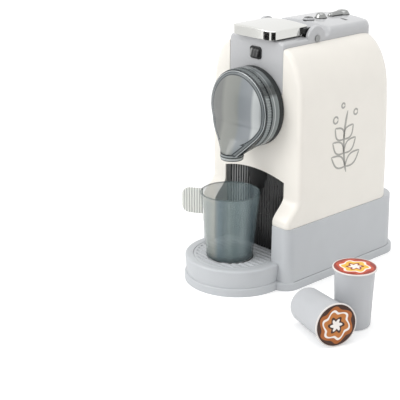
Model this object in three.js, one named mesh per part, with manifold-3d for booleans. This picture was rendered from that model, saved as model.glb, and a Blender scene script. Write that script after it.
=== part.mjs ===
// A toy coffee maker with its cup and two capsules, built from its separate pieces.
// Millimetres. X runs across, Y from the front to the back and Z up.
// The origin lies on the floor under the middle of the base.
import * as THREE from "three";
import { mergeVertices } from "three/addons/utils/BufferGeometryUtils.js";
import Module from "manifold-3d";

const wasm = await Module();
wasm.setup();

// Walls and fits
const wall = 2.2; // shells of the housing and the body
const seat = 0.3; // between pieces that rest on each other
const runningGap = 0.4; // between pieces that move past each other
const overrun = 2; // cutters reach this far past what they cut

// Overall sizes, from which most places follow
const baseWidth = 110;
const baseDepth = 198; // from the nose of the tray to the back
const deckHeight = 206.4; // top surface under the lever, at its centre

// Base and plinth
const noseRadius = 43.9; // plinth round the tray
const noseReach = 48; // nose ahead of the straight part of the plinth
const plinthHeight = 7;
const plinthEdge = 2;
const plinthFrontRound = 14;
const plinthBackRound = 18;
const baseTopShare = 0.265; // top of the grey base, as a share of the deck's height
const wallStepIn = 1.3; // housing wall behind the plinth's edge, at the sides
const frontStepIn = 3;
const backStepIn = 2;
const baseDraft = 0.4; // the wall leans in this much to its top
const housingFrontRound = 8.5;
const housingBackRound = 20;

// Tray in the nose
const trayTopShare = 0.11; // of the deck's height
const trayFootRadius = 42;
const trayRimRadius = 43.7;
const trayEdge = 2;
const gridRadius = 35.2;
const gridThick = 2.4;
const gridForward = 1.6; // centre of the plate ahead of the nose's centre
const groovePitch = 5;
const grooveWidth = 2;
const grooveDepth = 0.9;
const cupRingRadius = 21.3;
const cupForward = 6; // centre of the cup ahead of the nose's centre

// Bay for the cup, and the black insert at its back
const bayHalfWidth = 34.8;
const archFootShare = 0.4307; // arch at the sides of the bay, of the deck's height
const archRise = 5.1;
const insertSetBack = 5; // face of the insert behind the front of the body
const insertThick = 1.6;
const insertTopMargin = 8; // insert above the crown of the arch
const ribPitch = 4;
const ribWidth = 1.6;
const ribDepth = 0.7;
const bulgeTopRadius = 13.5;
const bulgeFootRadius = 4;
const bulgeDrop = 24;
const bulgeDepth = 4.2; // how far the bulge stands out of the insert

// Body shell
const bodySetBack = 16; // front of the body behind the straight part of the plinth
const bodyBackIn = 13.3; // back of the body ahead of the plinth's back
const bodySideIn = 2.4;
const bodyShoulderIn = 1.1; // the side leans in this much to the shoulder
const bodyTopDrop = 5.6; // top of the body under the deck
const crownWidth = 24.5; // elliptical round from the side to the top
const crownHeight = 44.5;
const backLean = 14.6; // the back leans in this much to the top
const backLeanRise = 7.1; // the lean starts this far above the base
const leanPowerShare = 2.4; // exponent of the lean's curve
const bodyFrontRound = 5;
const bodyBackRound = 15.7;
const footFlare = 12.7; // the front sweeps forward to the base by this much
const footFlareStart = 3.3; // above the base
const footFlareEnd = 22.3;
const rimHeight = 4; // rim on the base that centres the body
const rimThick = 1.6;

// Rear panel
const panelHalfWidth = 34;
const panelRise = 9.3; // above the base
const panelTall = 56;
const panelThick = 2;
const panelInset = 1.8; // face of the panel ahead of the widest part of the back
const panelLedge = 8; // ledge round the opening, which the screws go into
const padThick = 3.4;

// Grey spine over the front and the top
const spineHalfWidth = 30.4;
const stripDrop = 43.4; // strip on the front reaches this far under the deck
const spineDepth = 20.4;
const crownDrop = 1.4; // from the centre to the edge rounds
const deckEdgeWidth = 5.4;
const deckEdgeHeight = 2.6;
const panelEdgeHeight = 6.5; // the rounds of the raised rear part
const raisedBehind = 2.8; // behind the ears
const raisedSlope = 6;
const raisedStep = 5.2;
const raisedFall = 0.5; // the raised part falls this much to the back
const spineBackIn = 7.7; // ahead of the body's back
const spineBackRound = 5.5;
const spineBackDrop = 7;
const spineCornerRound = 11.5; // seen from above

// Lever and its hinge
const pivotBehind = 40; // behind the body's front
const pivotDrop = 2.9; // under the deck
const earRadius = 9.7;
const earThick = 3.8;
const leverHalfWidth = 23.4;
const leverProud = 7; // ahead of the body's front
const leverCapDepth = 33.5;
const leverGap = 1.1; // over the deck
const leverTall = 7.7;
const leverCornerRound = 7;
const leverEdge = 1.2;
const leverCapWall = 1.4;
const armBackIn = 3.5; // back of the arm ahead of the hinge
const knuckleRadius = 8;
const knuckleThick = 5.6;
const knucklePinRadius = 2.2;
const pinHeadRadius = 3;
const pinHeadThick = 0.7;
const pitWall = 1.6;

// Capsule holder under the lever
const holderMouthRadius = 17.9;
const holderFootRadius = 14.9;
const holderWall = 1;
const holderDepth = 49;

// Capsules
const capsuleHeight = 48.6;
const capsuleRimRadius = 17.4;
const capsuleRimThick = 1.4;
const capsuleNeckRadius = 15.8;
const capsuleFootRadius = 14.2;
const capsuleChamfer = 1.6;
const capsuleWall = 1.1;
const lidThick = 0.6;
const lidMargin = 1;
const lidSeat = 0.1;
const uprightX = 128;
const uprightY = -52;
const lyingX = 144.9;
const lyingY = -91.2;
const lyingHeading = 160.4; // degrees from +X, from the lid to the foot
const floorGap = 0.05;

// Tank
const tankDrop = 57.9; // its centre under the deck
const faceRadius = 32.4;
const drumRadius = 33.5;
const faceReach = 20.4; // rim of the face ahead of the body; the dome stands ahead of it
const faceDome = 5.5;
const drumReach = 14; // ahead of the body
const drumGap = 5.4;
const gasketWidth = 3.2;
const tankWall = 1.8;
const bossRadius = 12; // round boss that goes through the body's front
const bossLength = 2;
const spoutRadius = 9.3;
const spoutDrop = 37; // under the tank's centre
const spoutBore = 6.5;
const funnelDrop = 12.5;
const collarHeight = 3.7;
const collarProud = 0.6;
const screwPlace = 20.6; // screw posts this far across and up from the centre
const postRadius = 2.6;

// Cup
const cupHeightShare = 0.2776; // of the deck's height
const cupFootRadius = 19.6;
const cupRimRadius = 25.2;
const cupWall = 1.3;
const cupFloor = 3.2;
const tabReach = 17; // handle beyond the rim
const tabHeight = 22.5;
const tabThick = 2.4;
const tabRound = 7;
const tabHeading = 211; // degrees from +X
const cupAside = 0.85; // the cup stands this far off the middle of its seat, to -X and to -Y
const tabTopDrop = 0.3;

// Buttons and knob on the top
const powerBehind = 3.9; // behind the slope of the raised part
const powerRadius = 4.7;
const powerProud = 1;
const buttonPitch = 15.2;
const brewRadius = 5;
const brewProud = 4;
const knobIn = 7.5; // ahead of the spine's back
const knobRadius = 6;
const knobProud = 3.8;
const knobArm = 17.5; // from the hub's centre to the tip of the pointer
const knobTipRadius = 2.4;
const knobRootShare = 0.8; // half width of the pointer where it meets the hub
const knobBrimShare = 0.2; // height of the hub's upright edge
const knobArmHeight = 2.4;
const brewCapShare = 0.72; // the dome of the brew button, in two steps
const stemRadius = 2.4;
const flangeProud = 0.9;
const flangeThick = 1.2;
const springRadius = 3.9;
const springWire = 0.35;
const springTurns = 3;
const buttonTravel = 1.5;
const frontButtonDrop = 13.4; // under the deck
const frontButtonHalfWidth = 5.3;
const frontButtonHalfHeight = 4;
const frontButtonRound = 2.2;
const frontButtonProud = 1.8;
const frontFlangeThick = 0.8;
const frontButtonTravel = 0.8;

// Electronics
const boardHalfWidth = 17;
const boardThick = 1.6;
const boardDrop = 9.4; // under the deck
const boardFrontIn = 2.5; // behind the front of the raised part
const boardBackIn = 4;
const switchHalf = 2.3;
const switchTall = 2.2;
const speakerRadiusShare = 0.295; // of the room between the body's front and the battery door
const speakerDepth = 7;
const lampRadius = 2.5;
const lampLength = 8;
const lampFlange = 1;
const lampFlangeThick = 1;
const lampPlateThick = 1.6;
const lampPlateMargin = 2.5; // plate beyond the hole in the body's front

// Batteries in the base
const cellRadius = 7.2;
const cellLength = 50;
const cellCount = 3;
const cellPitch = 15;
const batteryWall = 1.6;
const batteryIn = 33.7; // middle of the cells ahead of the body's back
const doorThick = 2.2;
const contactThick = 0.5;
const contactHalfHeight = 5.5;

// Screws
const screwRadius = 1.4;
const screwHeadRadius = 2.8;
const screwHeadThick = 1.4;
const screwLength = 9;
const slotWidth = 0.6;
const slotDepth = 0.6;
const screwPostRadius = 4.2;
const baseScrewBehind = 3; // behind the body's front
const baseScrewAhead = 11.7; // ahead of the body's back
const panelScrewIn = 4; // from the panel's edges

// How finely round shapes are cut
const largeRound = 36;
const mediumRound = 24;
const smallRound = 8;
const archRound = 160;
const cornerSteps = 4;
const edgeSteps = 3;
const coilSteps = 8; // rings in one turn of a spring
const wireSides = 5;

// Places that follow from the sizes above
const backEdge = baseDepth / 2;
const noseY = noseRadius - backEdge;
const slabFront = noseReach - backEdge;
const halfBase = baseWidth / 2;
const baseTop = deckHeight * baseTopShare;
const trayTop = deckHeight * trayTopShare;
const archFoot = deckHeight * archFootShare;
const cupHeight = deckHeight * cupHeightShare;
const bodyFront = slabFront + bodySetBack;
const bodyBack = backEdge - bodyBackIn;
const bodyHalfWidth = halfBase - bodySideIn;
const housingHalfWidth = halfBase - wallStepIn;
const housingFront = slabFront + frontStepIn;
const housingBack = backEdge - backStepIn;
const bodyFoot = baseTop + seat;
const bodyTop = deckHeight - bodyTopDrop;
const shoulderHeight = bodyTop - crownHeight;
const backLeanHeight = bodyTop - baseTop - backLeanRise;
const flareStart = baseTop + footFlareStart;
const flareEnd = baseTop + footFlareEnd;
const panelBottom = baseTop + panelRise;
const panelTop = panelBottom + panelTall;
const stripBottom = deckHeight - stripDrop;
const spineFoot = deckHeight - spineDepth;
const raisedHeight = deckHeight + raisedStep;
const spineBack = bodyBack - spineBackIn;
const pivotY = bodyFront + pivotBehind;
const pivotZ = deckHeight - pivotDrop;
const raisedFront = pivotY + earRadius + raisedBehind;
const leverFront = bodyFront - leverProud;
const leverCapBack = leverFront + leverCapDepth;
const leverBottom = deckHeight + leverGap;
const leverTop = leverBottom + leverTall;
const armBack = pivotY - armBackIn;
const tankHeight = deckHeight - tankDrop;
const faceFront = bodyFront - faceReach;
const drumFront = bodyFront - drumReach;
const drumBack = bodyFront - drumGap;
const spoutBottom = tankHeight - spoutDrop;
const funnelTop = tankHeight - funnelDrop;
const powerY = raisedFront + raisedSlope + powerBehind;
const brewY = powerY + buttonPitch;
const knobY = spineBack - knobIn;
const frontButtonZ = deckHeight - frontButtonDrop;
const boardTop = deckHeight - boardDrop;
const boardFront = raisedFront + boardFrontIn;
const boardBack = spineBack - boardBackIn;
const batteryY = bodyBack - batteryIn;
const baseScrewX = (bayHalfWidth + wall + housingHalfWidth) / 2;
const baseScrewFront = bodyFront + baseScrewBehind;
const baseScrewBack = bodyBack - baseScrewAhead;
const insertFace = bodyFront + insertSetBack;
const insertBack = insertFace + insertThick;
const cupY = noseY - cupForward;
const archTop = archFoot + archRise;
const archRadius = (bayHalfWidth ** 2 + archRise ** 2) / (2 * archRise);
const earInner = spineHalfWidth - earThick;
const knuckleOuter = earInner - runningGap;
const knuckleInner = knuckleOuter - knuckleThick;
const holderRadius = holderMouthRadius + holderWall;
const frontButtonRoom = frontFlangeThick + frontButtonTravel + seat;
const holderY = bodyFront + wall + seat + frontButtonRoom + holderRadius;
const gridUnderside = trayTop - gridThick;
const trayFloor = gridUnderside - seat;
const outFront = -backEdge - overrun; // cutters from the front start here
const panelFace = bodyBack - panelInset;
const ledgeFace = panelFace - panelThick - seat;
const behindFront = bodyFront + wall + seat; // pieces that lie against the front from inside
const holderTop = deckHeight - crownDrop - wall - seat;
const lampBore = lampRadius + seat / 2;
const gridMiddle = noseY - gridForward;
const cellRowDepth = cellPitch * (cellCount - 1) + 2 * cellRadius;
const batteryHalfWidth = cellLength / 2 + contactThick + 2 * seat;
const batteryFront = batteryY - cellRowDepth / 2 - seat;
const batteryBack = batteryY + cellRowDepth / 2 + seat;
const cellHeight = doorThick + seat + cellRadius + seat;
const batteryTop = cellHeight + cellRadius + seat;
const doorTabWidth = 2 * (screwHeadRadius + wall);
const doorScrewY = batteryFront - doorTabWidth / 2 - seat;
const doorTabFront = doorScrewY - doorTabWidth / 2;
const speakerY = (bodyFront + doorTabFront) / 2;
const speakerRadius = (doorTabFront - bodyFront) * speakerRadiusShare;
const baseScrewPlaces = [-baseScrewX, baseScrewX].flatMap((x) =>
  [baseScrewFront, baseScrewBack].map((y) => [x, y]),
);
const panelScrewPlaces = [panelScrewIn - panelHalfWidth, panelHalfWidth - panelScrewIn].flatMap((x) =>
  [panelBottom + panelScrewIn, panelTop - panelScrewIn].map((z) => [x, z]),
);
const tankScrewPlaces = [-screwPlace, screwPlace].flatMap((x) =>
  [tankHeight - screwPlace, tankHeight + screwPlace].map((z) => [x, z]),
);
const topButtonPlaces = [
  [powerY, powerRadius],
  [brewY, brewRadius],
];

// Solids from three.js geometry, and back again
function solid(geometry) {
  const bare = geometry.clone();
  bare.deleteAttribute("normal");
  bare.deleteAttribute("uv");
  const merged = mergeVertices(bare);
  const index = merged.index.array;
  const faces = [];
  for (let i = 0; i < index.length; i += 3) {
    const [a, b, c] = [index[i], index[i + 1], index[i + 2]];
    if (a !== b && b !== c && c !== a) faces.push(a, b, c);
  }
  const mesh = new wasm.Mesh({
    numProp: 3,
    vertProperties: merged.attributes.position.array,
    triVerts: new Uint32Array(faces),
  });
  return new wasm.Manifold(mesh);
}

function geometryOf(body) {
  const mesh = body.getMesh();
  const geometry = new THREE.BufferGeometry();
  const places = new THREE.BufferAttribute(new Float32Array(mesh.vertProperties), 3);
  geometry.setAttribute("position", places);
  geometry.setIndex(new THREE.BufferAttribute(new Uint32Array(mesh.triVerts), 1));
  geometry.computeVertexNormals();
  return geometry;
}

const joined = (first, ...others) => others.reduce((sum, part) => sum.add(part), first);
const without = (first, ...others) => others.reduce((rest, part) => rest.subtract(part), first);

// A box between pairs of limits along X, Y and Z
function block([x0, x1], [y0, y1], [z0, z1]) {
  const geometry = new THREE.BoxGeometry(x1 - x0, y1 - y0, z1 - z0);
  return solid(geometry.translate((x0 + x1) / 2, (y0 + y1) / 2, (z0 + z1) / 2));
}

// Limits that lie the same distance either side of a middle
const about = (middle, half) => [middle - half, middle + half];

// Limits along X on one side of the machine, given by two distances from its middle
const onSide = (side, near, far) => [side * near, side * far].sort((a, b) => a - b);

// A solid of revolution about Z through x, y; its profile is a list of [radius, height]
function turned(profile, steps, x = 0, y = 0) {
  const points = profile.map(([r, z]) => new THREE.Vector2(Math.max(r, 0), z));
  if (profile[0][0] > 0) points.push(points[0].clone());
  if (THREE.ShapeUtils.area(points) < 0) points.reverse();
  const geometry = new THREE.LatheGeometry(points, steps);
  return solid(geometry.rotateX(Math.PI / 2).translate(x, y, 0));
}

// The same about an axis along Y through x, z; its profile is a list of [radius, y]
function turnedAlongY(profile, steps, x, z) {
  const points = profile.map(([r, y]) => new THREE.Vector2(Math.max(r, 0), y));
  if (profile[0][0] > 0) points.push(points[0].clone());
  if (THREE.ShapeUtils.area(points) < 0) points.reverse();
  return solid(new THREE.LatheGeometry(points, steps).translate(x, 0, z));
}

const cylinder = (r, [z0, z1], steps, x = 0, y = 0) =>
  turned([[0, z0], [r, z0], [r, z1], [0, z1]], steps, x, y);
const cylinderAlongY = (r, [y0, y1], steps, x, z) =>
  turnedAlongY([[0, y0], [r, y0], [r, y1], [0, y1]], steps, x, z);

// A cylinder along X through y, z
function cylinderAlongX(r, [x0, x1], steps, y, z) {
  const geometry = new THREE.CylinderGeometry(r, r, x1 - x0, steps);
  return solid(geometry.rotateZ(Math.PI / 2).translate((x0 + x1) / 2, y, z));
}

// A closed skin through rings of points, each with the same number, and a fan over each end
function loft(rings) {
  const count = rings[0].length;
  const places = rings.flat();
  const faces = [];
  for (let level = 0; level + 1 < rings.length; level++)
    for (let i = 0; i < count; i++) {
      const a = level * count + i;
      const b = level * count + ((i + 1) % count);
      faces.push(a, b, b + count, a, b + count, a + count);
    }
  [0, rings.length - 1].forEach((level, end) => {
    const middle = new THREE.Vector3();
    rings[level].forEach((p) => middle.addScaledVector(p, 1 / count));
    places.push(middle);
    for (let i = 0; i < count; i++) {
      const a = level * count + i;
      const b = level * count + ((i + 1) % count);
      faces.push(...(end ? [a, b, places.length - 1] : [b, a, places.length - 1]));
    }
  });
  const geometry = new THREE.BufferGeometry().setFromPoints(places);
  geometry.setIndex(faces);
  const made = solid(geometry);
  if (made.volume() > 0) return made;
  geometry.setIndex(faces.reverse());
  return solid(geometry);
}

// A rounded rectangle at height z, anticlockwise seen from above
function plateRing(halfWidth, front, back, frontRound, backRound, z) {
  const corners = [
    [halfWidth - frontRound, front + frontRound, frontRound, -Math.PI / 2],
    [halfWidth - backRound, back - backRound, backRound, 0],
    [backRound - halfWidth, back - backRound, backRound, Math.PI / 2],
    [frontRound - halfWidth, front + frontRound, frontRound, Math.PI],
  ];
  return corners.flatMap(([x, y, r, start]) =>
    Array.from({ length: cornerSteps + 1 }, (_, i) => {
      const angle = start + ((Math.PI / 2) * i) / cornerSteps;
      return new THREE.Vector3(x + r * Math.cos(angle), y + r * Math.sin(angle), z);
    }),
  );
}

const shares = (steps) => Array.from({ length: steps + 1 }, (_, i) => i / steps);

// A plate lying flat between two heights; its outline is that of plateRing
const plate = (halfWidth, front, back, frontRound, backRound, heights) =>
  loft(heights.map((z) => plateRing(halfWidth, front, back, frontRound, backRound, z)));

// A rounded rectangle standing across the machine, between two limits along Y
function standingPlate(halfWidth, [z0, z1], round, limits) {
  const ring = plateRing(halfWidth, z0, z1, round, round, 0);
  return loft(limits.map((y) => ring.map((p) => new THREE.Vector3(p.x, y, p.y))));
}

// A screw along -Z: a pan head whose top is at headTop, its shank below it
function screwSolid(headTop) {
  const headFoot = headTop - screwHeadThick;
  const shank = headFoot - screwLength;
  const profile = [[0, shank], [screwRadius, shank], [screwRadius, headFoot]];
  profile.push([screwHeadRadius, headFoot], [screwHeadRadius, headTop], [0, headTop]);
  const slot = block(
    about(0, screwHeadRadius + overrun),
    about(0, slotWidth / 2),
    [headTop - slotDepth, headTop + overrun],
  );
  return turned(profile, smallRound).subtract(slot);
}

// Half width of the body at height z
function bodyHalfWidthAt(z) {
  const rise = (z - bodyFoot) / (shoulderHeight - bodyFoot);
  if (rise < 1) return bodyHalfWidth - bodyShoulderIn * Math.max(rise, 0);
  const share = Math.min((z - shoulderHeight) / crownHeight, 1);
  const shoulder = bodyHalfWidth - bodyShoulderIn;
  return shoulder - crownWidth * (1 - Math.sqrt(1 - share ** 2));
}

// Front of the body at height z: an S from the flared foot to the flat front
function bodyFrontAt(z) {
  const share = THREE.MathUtils.smoothstep(z, flareStart, flareEnd);
  return bodyFront - footFlare * (1 - share);
}

// Back of the body at height z: a superellipse that leans in towards the top
function bodyBackAt(z) {
  const share = THREE.MathUtils.clamp((z - bodyTop + backLeanHeight) / backLeanHeight, 0, 1);
  const fall = (1 - share ** leanPowerShare) ** (1 / leanPowerShare);
  return bodyBack - backLean * (1 - fall);
}

const bodyRing = (z, inset, lift) =>
  plateRing(
    bodyHalfWidthAt(z + lift) - inset,
    bodyFrontAt(z) + inset,
    bodyBackAt(z + lift) - inset,
    Math.max(bodyFrontRound - inset, inset),
    bodyBackRound - inset,
    z,
  );

// The space of the bay, grown by a margin: a box under an arch, open to the front
function baySpace(margin, floor, back) {
  const centre = archTop - archRadius;
  const box = block(about(0, bayHalfWidth + margin), [outFront, back], [floor, archTop + margin]);
  return box.intersect(cylinderAlongY(archRadius + margin, [outFront, back], archRound, 0, centre));
}

// Grey base with its plinth, tray nose and bay
function slabRing(grow, z) {
  const front = slabFront - grow;
  const back = backEdge + grow;
  return plateRing(halfBase + grow, front, back, plinthFrontRound + grow, plinthBackRound + grow, z);
}

function plinth() {
  const rings = [slabRing(0, 0), slabRing(0, plinthHeight - plinthEdge)];
  const nose = [[0, 0], [noseRadius, 0]];
  shares(edgeSteps).forEach((share) => {
    const turn = (share * Math.PI) / 2;
    const grow = -plinthEdge * (1 - Math.cos(turn));
    const z = plinthHeight - plinthEdge * (1 - Math.sin(turn));
    if (share > 0) rings.push(slabRing(grow, z));
    nose.push([noseRadius + grow, z]);
  });
  nose.push([0, plinthHeight]);
  return loft(rings).add(turned(nose, largeRound, 0, noseY));
}

function housingBlock(inset, heights) {
  const ring = (z) => {
    const lean = (baseDraft * (z - plinthHeight)) / (baseTop - plinthHeight);
    return plateRing(
      housingHalfWidth - lean - inset,
      housingFront + inset,
      housingBack - lean - inset,
      housingFrontRound - inset,
      housingBackRound - inset,
      z,
    );
  };
  return loft(heights.map(ring));
}

function trayBowl(inset, z0, top) {
  const profile = [[0, z0], [trayFootRadius - inset, z0]];
  shares(edgeSteps).forEach((share) => {
    const turn = (share * Math.PI) / 2;
    const z = top - trayEdge * (1 - Math.sin(turn));
    profile.push([trayRimRadius - inset - trayEdge * (1 - Math.cos(turn)), z]);
  });
  profile.push([0, top]);
  return turned(profile, largeRound, 0, noseY);
}

function gridPlate(grow, heights) {
  const back = insertFace - ribDepth - runningGap + grow;
  const disc = cylinder(gridRadius + grow, heights, largeRound, 0, gridMiddle);
  return disc.intersect(block(about(0, halfBase), [outFront, back], heights));
}

function baseHollow(trayUnder) {
  const slab = plate(
    halfBase - wall,
    slabFront + wall,
    backEdge - wall,
    plinthFrontRound - wall,
    plinthBackRound - wall,
    [-overrun, plinthHeight - wall],
  );
  const nose = cylinder(noseRadius - wall, [-overrun, plinthHeight - wall], largeRound, 0, noseY);
  return joined(slab, nose, housingBlock(wall, [0, baseTop - wall]), trayBowl(wall, 0, trayUnder));
}

// Rim on the base that centres the body; it stops at the bay
function baseRim() {
  const low = bodyFoot - wall;
  const high = baseTop + rimHeight;
  const outer = loft([low, high].map((z) => bodyRing(z, wall + seat, 0)));
  const inner = loft([low - overrun, high + overrun].map((z) => bodyRing(z, wall + seat + rimThick, 0)));
  return without(outer, inner, baySpace(wall + seat, trayTop, insertBack + seat + wall));
}

function baseScrewPost([x, y]) {
  const post = cylinder(screwPostRadius, [wall + seat, baseTop - wall], smallRound, x, y);
  return post.subtract(cylinder(screwRadius + seat, [0, wall + screwLength + overrun], smallRound, x, y));
}

function baseHousing() {
  const rise = plinthHeight / 2;
  const outer = joined(plinth(), housingBlock(0, [rise, baseTop]), trayBowl(0, rise, trayTop));
  const trayUnder = trayFloor - wall;
  const bayBack = insertBack + seat;
  const bayShell = block(about(0, bayHalfWidth + wall), [-backEdge, bayBack + wall], [trayUnder, baseTop]);
  const bay = block(about(0, bayHalfWidth), [outFront, bayBack], [trayTop, baseTop + overrun]);
  const walls = without(outer, baseHollow(trayUnder).subtract(bayShell), bay);
  const wireHole = cylinder(screwPostRadius, about(baseTop, wall + overrun), smallRound);
  const shell = joined(walls, baseRim(), ...baseScrewPlaces.map(baseScrewPost));
  return without(shell, gridPlate(seat, [trayFloor, trayTop + overrun]), wireHole);
}

// Cover under the base, with the box for the cells
function coverOutline() {
  const inset = wall + seat;
  const slab = plate(
    halfBase - inset,
    slabFront + inset,
    backEdge - inset,
    plinthFrontRound - inset,
    plinthBackRound - inset,
    [0, wall],
  );
  return slab.add(cylinder(noseRadius - inset, [0, wall], largeRound, 0, noseY));
}

function baseCover() {
  const boxWalls = block(
    about(0, batteryHalfWidth + batteryWall),
    [batteryFront - batteryWall, batteryBack + batteryWall],
    [0, batteryTop + batteryWall],
  );
  const space = block(about(0, batteryHalfWidth), [batteryFront, batteryBack], [-overrun, batteryTop]);
  const tabRoof = doorThick + seat;
  const tabFront = batteryFront - doorTabWidth;
  const tab = block(about(0, doorTabWidth / 2), [tabFront, batteryFront + overrun], [-overrun, tabRoof]);
  const roof = block(
    about(0, doorTabWidth / 2 + batteryWall),
    [tabFront - batteryWall, batteryFront - batteryWall / 2],
    [0, tabRoof + batteryWall],
  );
  const postTop = screwLength + wall;
  const post = cylinder(screwPostRadius, [tabRoof, postTop], smallRound, 0, doorScrewY);
  const pilot = cylinder(screwRadius + seat, [0, postTop + overrun], smallRound, 0, doorScrewY);
  const holes = baseScrewPlaces.flatMap(([x, y]) => [
    cylinder(screwRadius + seat, [-overrun, wall + overrun], smallRound, x, y),
    cylinder(screwHeadRadius + seat, [-overrun, screwHeadThick + seat], smallRound, x, y),
  ]);
  return without(joined(coverOutline(), boxWalls, roof, post), space, tab, pilot, ...holes);
}

function batteryDoor() {
  const leaf = block(
    about(0, batteryHalfWidth - seat),
    [batteryFront + seat, batteryBack - seat],
    [0, doorThick],
  );
  const tab = block(
    about(0, doorTabWidth / 2 - seat),
    [batteryFront - doorTabWidth + seat, batteryFront + wall],
    [0, doorThick],
  );
  const headHole = [-overrun, screwHeadThick + seat];
  const head = cylinder(screwHeadRadius + seat, headHole, smallRound, 0, doorScrewY);
  const shank = cylinder(screwRadius + seat, [-overrun, doorThick + overrun], smallRound, 0, doorScrewY);
  return without(leaf.add(tab), head, shank);
}

// Cell standing upright about the origin, its nub on top
function cell() {
  const nub = cellRadius / 3;
  const top = cellLength / 2;
  const shoulder = top - nub / 2;
  const profile = [[0, -top], [cellRadius, -top], [cellRadius, shoulder]];
  profile.push([nub, shoulder], [nub, top], [0, top]);
  return turned(profile, smallRound);
}

function batteryContact(side) {
  const back = batteryHalfWidth - seat / 2;
  return block(
    onSide(side, back - contactThick, back),
    [batteryFront + seat, batteryBack - seat],
    about(cellHeight, contactHalfHeight),
  );
}

// Round plate that the cup stands on, with grooves from side to side
function dripGrid() {
  const cut = [trayTop - grooveDepth, trayTop + overrun];
  const reach = gridRadius - grooveWidth;
  const rows = Math.floor(reach / groovePitch);
  const grooves = [cylinder(cupRingRadius, cut, largeRound, 0, cupY)];
  for (let row = -rows; row <= rows; row++) {
    const off = row * groovePitch;
    const half = Math.sqrt(reach ** 2 - off ** 2);
    grooves.push(block(about(0, half), about(gridMiddle + off, grooveWidth / 2), cut));
  }
  return without(gridPlate(0, [gridUnderside, trayTop]), ...grooves);
}

// Cream shell
function bodyHeights() {
  const flare = shares(cornerSteps + 1).slice(1);
  const crown = shares(2 * cornerSteps).slice(1);
  return [
    bodyFoot,
    flareStart,
    ...flare.map((share) => THREE.MathUtils.lerp(flareStart, flareEnd, share)),
    (flareEnd + shoulderHeight) / 2,
    shoulderHeight,
    ...crown.map((share) => shoulderHeight + crownHeight * Math.sin((share * Math.PI) / 2)),
  ];
}

function bodyHollow(heights) {
  const top = bodyTop - wall;
  const levels = [bodyFoot - overrun, ...heights.filter((z) => z < top).slice(1), top];
  return loft(levels.map((z) => bodyRing(z, wall, z > shoulderHeight ? wall : 0)));
}

function bodyShell() {
  const heights = bodyHeights();
  const outer = loft(heights.map((z) => bodyRing(z, 0, 0)));
  const bayShell = baySpace(wall, bodyFoot - overrun, insertFace - seat);
  const shell = outer.subtract(bodyHollow(heights).subtract(bayShell));
  const slot = spineBlock(-seat, spineFoot - seat);
  const across = about(0, spineHalfWidth + seat);
  const stripSlot = block(across, [outFront, behindFront], [stripBottom - seat, bodyTop]);
  const holeRadius = bossRadius + runningGap;
  const tankHole = cylinderAlongY(holeRadius, [outFront, behindFront], mediumRound, 0, tankHeight);
  const bay = baySpace(0, bodyFoot - overrun, insertBack + seat);
  return without(shell.add(rearPad()), bay, slot, stripSlot, tankHole, rearCuts());
}

// Thicker wall round the rear opening, which the panel's screws go into
const rearPad = () =>
  block(
    about(0, panelHalfWidth + wall),
    [ledgeFace - padThick, panelFace],
    [panelBottom - wall, panelTop + wall],
  );

function rearCuts() {
  const recessHeights = [panelBottom - seat, panelTop + seat];
  const recess = standingPlate(panelHalfWidth + seat, recessHeights, wall, [ledgeFace, backEdge]);
  const window = block(
    about(0, panelHalfWidth - panelLedge),
    [ledgeFace - padThick - overrun, backEdge],
    [panelBottom + panelLedge, panelTop - panelLedge],
  );
  const depth = [panelFace - screwLength - wall, backEdge];
  const pilots = panelScrewPlaces.map(([x, z]) =>
    cylinderAlongY(screwRadius + seat, depth, smallRound, x, z),
  );
  return joined(recess, window, ...pilots);
}

function rearPanel() {
  const panel = standingPlate(
    panelHalfWidth,
    [panelBottom, panelTop],
    wall,
    [ledgeFace + seat, panelFace],
  );
  const headDepth = [panelFace - screwHeadThick - seat / 2, backEdge];
  const holes = panelScrewPlaces.flatMap(([x, z]) => [
    cylinderAlongY(screwRadius + seat, [ledgeFace - overrun, backEdge], smallRound, x, z),
    cylinderAlongY(screwHeadRadius + seat, headDepth, smallRound, x, z),
  ]);
  return without(panel, ...holes);
}

// Black insert at the back of the bay, with ribs and the outlet bulge
function insertBulge() {
  const middle = insertFace + insertThick / 2;
  const ends = [
    [bulgeFootRadius, archTop - bulgeDrop],
    [bulgeTopRadius, archTop],
  ];
  const rings = ends.map(([r, z]) =>
    shares(mediumRound).slice(1).map((share) => {
      const angle = share * 2 * Math.PI;
      const y = middle + Math.min(r, bulgeDepth) * Math.sin(angle);
      return new THREE.Vector3(r * Math.cos(angle), y, z);
    }),
  );
  const room = block(about(0, bayHalfWidth - seat), [bodyFront + seat, insertBack], [0, archTop]);
  return loft(rings).intersect(room);
}

function insertRibs(half, foot) {
  const count = Math.floor((half - insertThick) / ribPitch);
  const depth = [insertFace - ribDepth, insertFace + insertThick / 2];
  const ribs = [];
  for (let i = -count; i <= count; i++)
    ribs.push(block(about(i * ribPitch, ribWidth / 2), depth, [foot, archTop - seat]));
  return ribs;
}

function recessInsert() {
  const half = bayHalfWidth - seat;
  const foot = trayTop + seat;
  const top = archTop + insertTopMargin;
  const back = block(about(0, half), [insertFace, insertBack], [foot, top]);
  const sides = [-1, 1].map((side) =>
    block(onSide(side, half - insertThick, half), [bodyFront + seat, insertBack], [foot, archTop]),
  );
  const below = baySpace(-seat, foot, insertBack + overrun);
  const above = block(about(0, half), [insertFace, insertBack], [archFoot, top]);
  const inBay = joined(back, ...sides, ...insertRibs(half, foot), insertBulge());
  return joined(inBay.intersect(below), back.intersect(above));
}

// How far the spine's raised part has risen at y, from 0 to 1
const raisedShareAt = (y) => THREE.MathUtils.clamp((y - raisedFront) / raisedSlope, 0, 1);

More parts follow.
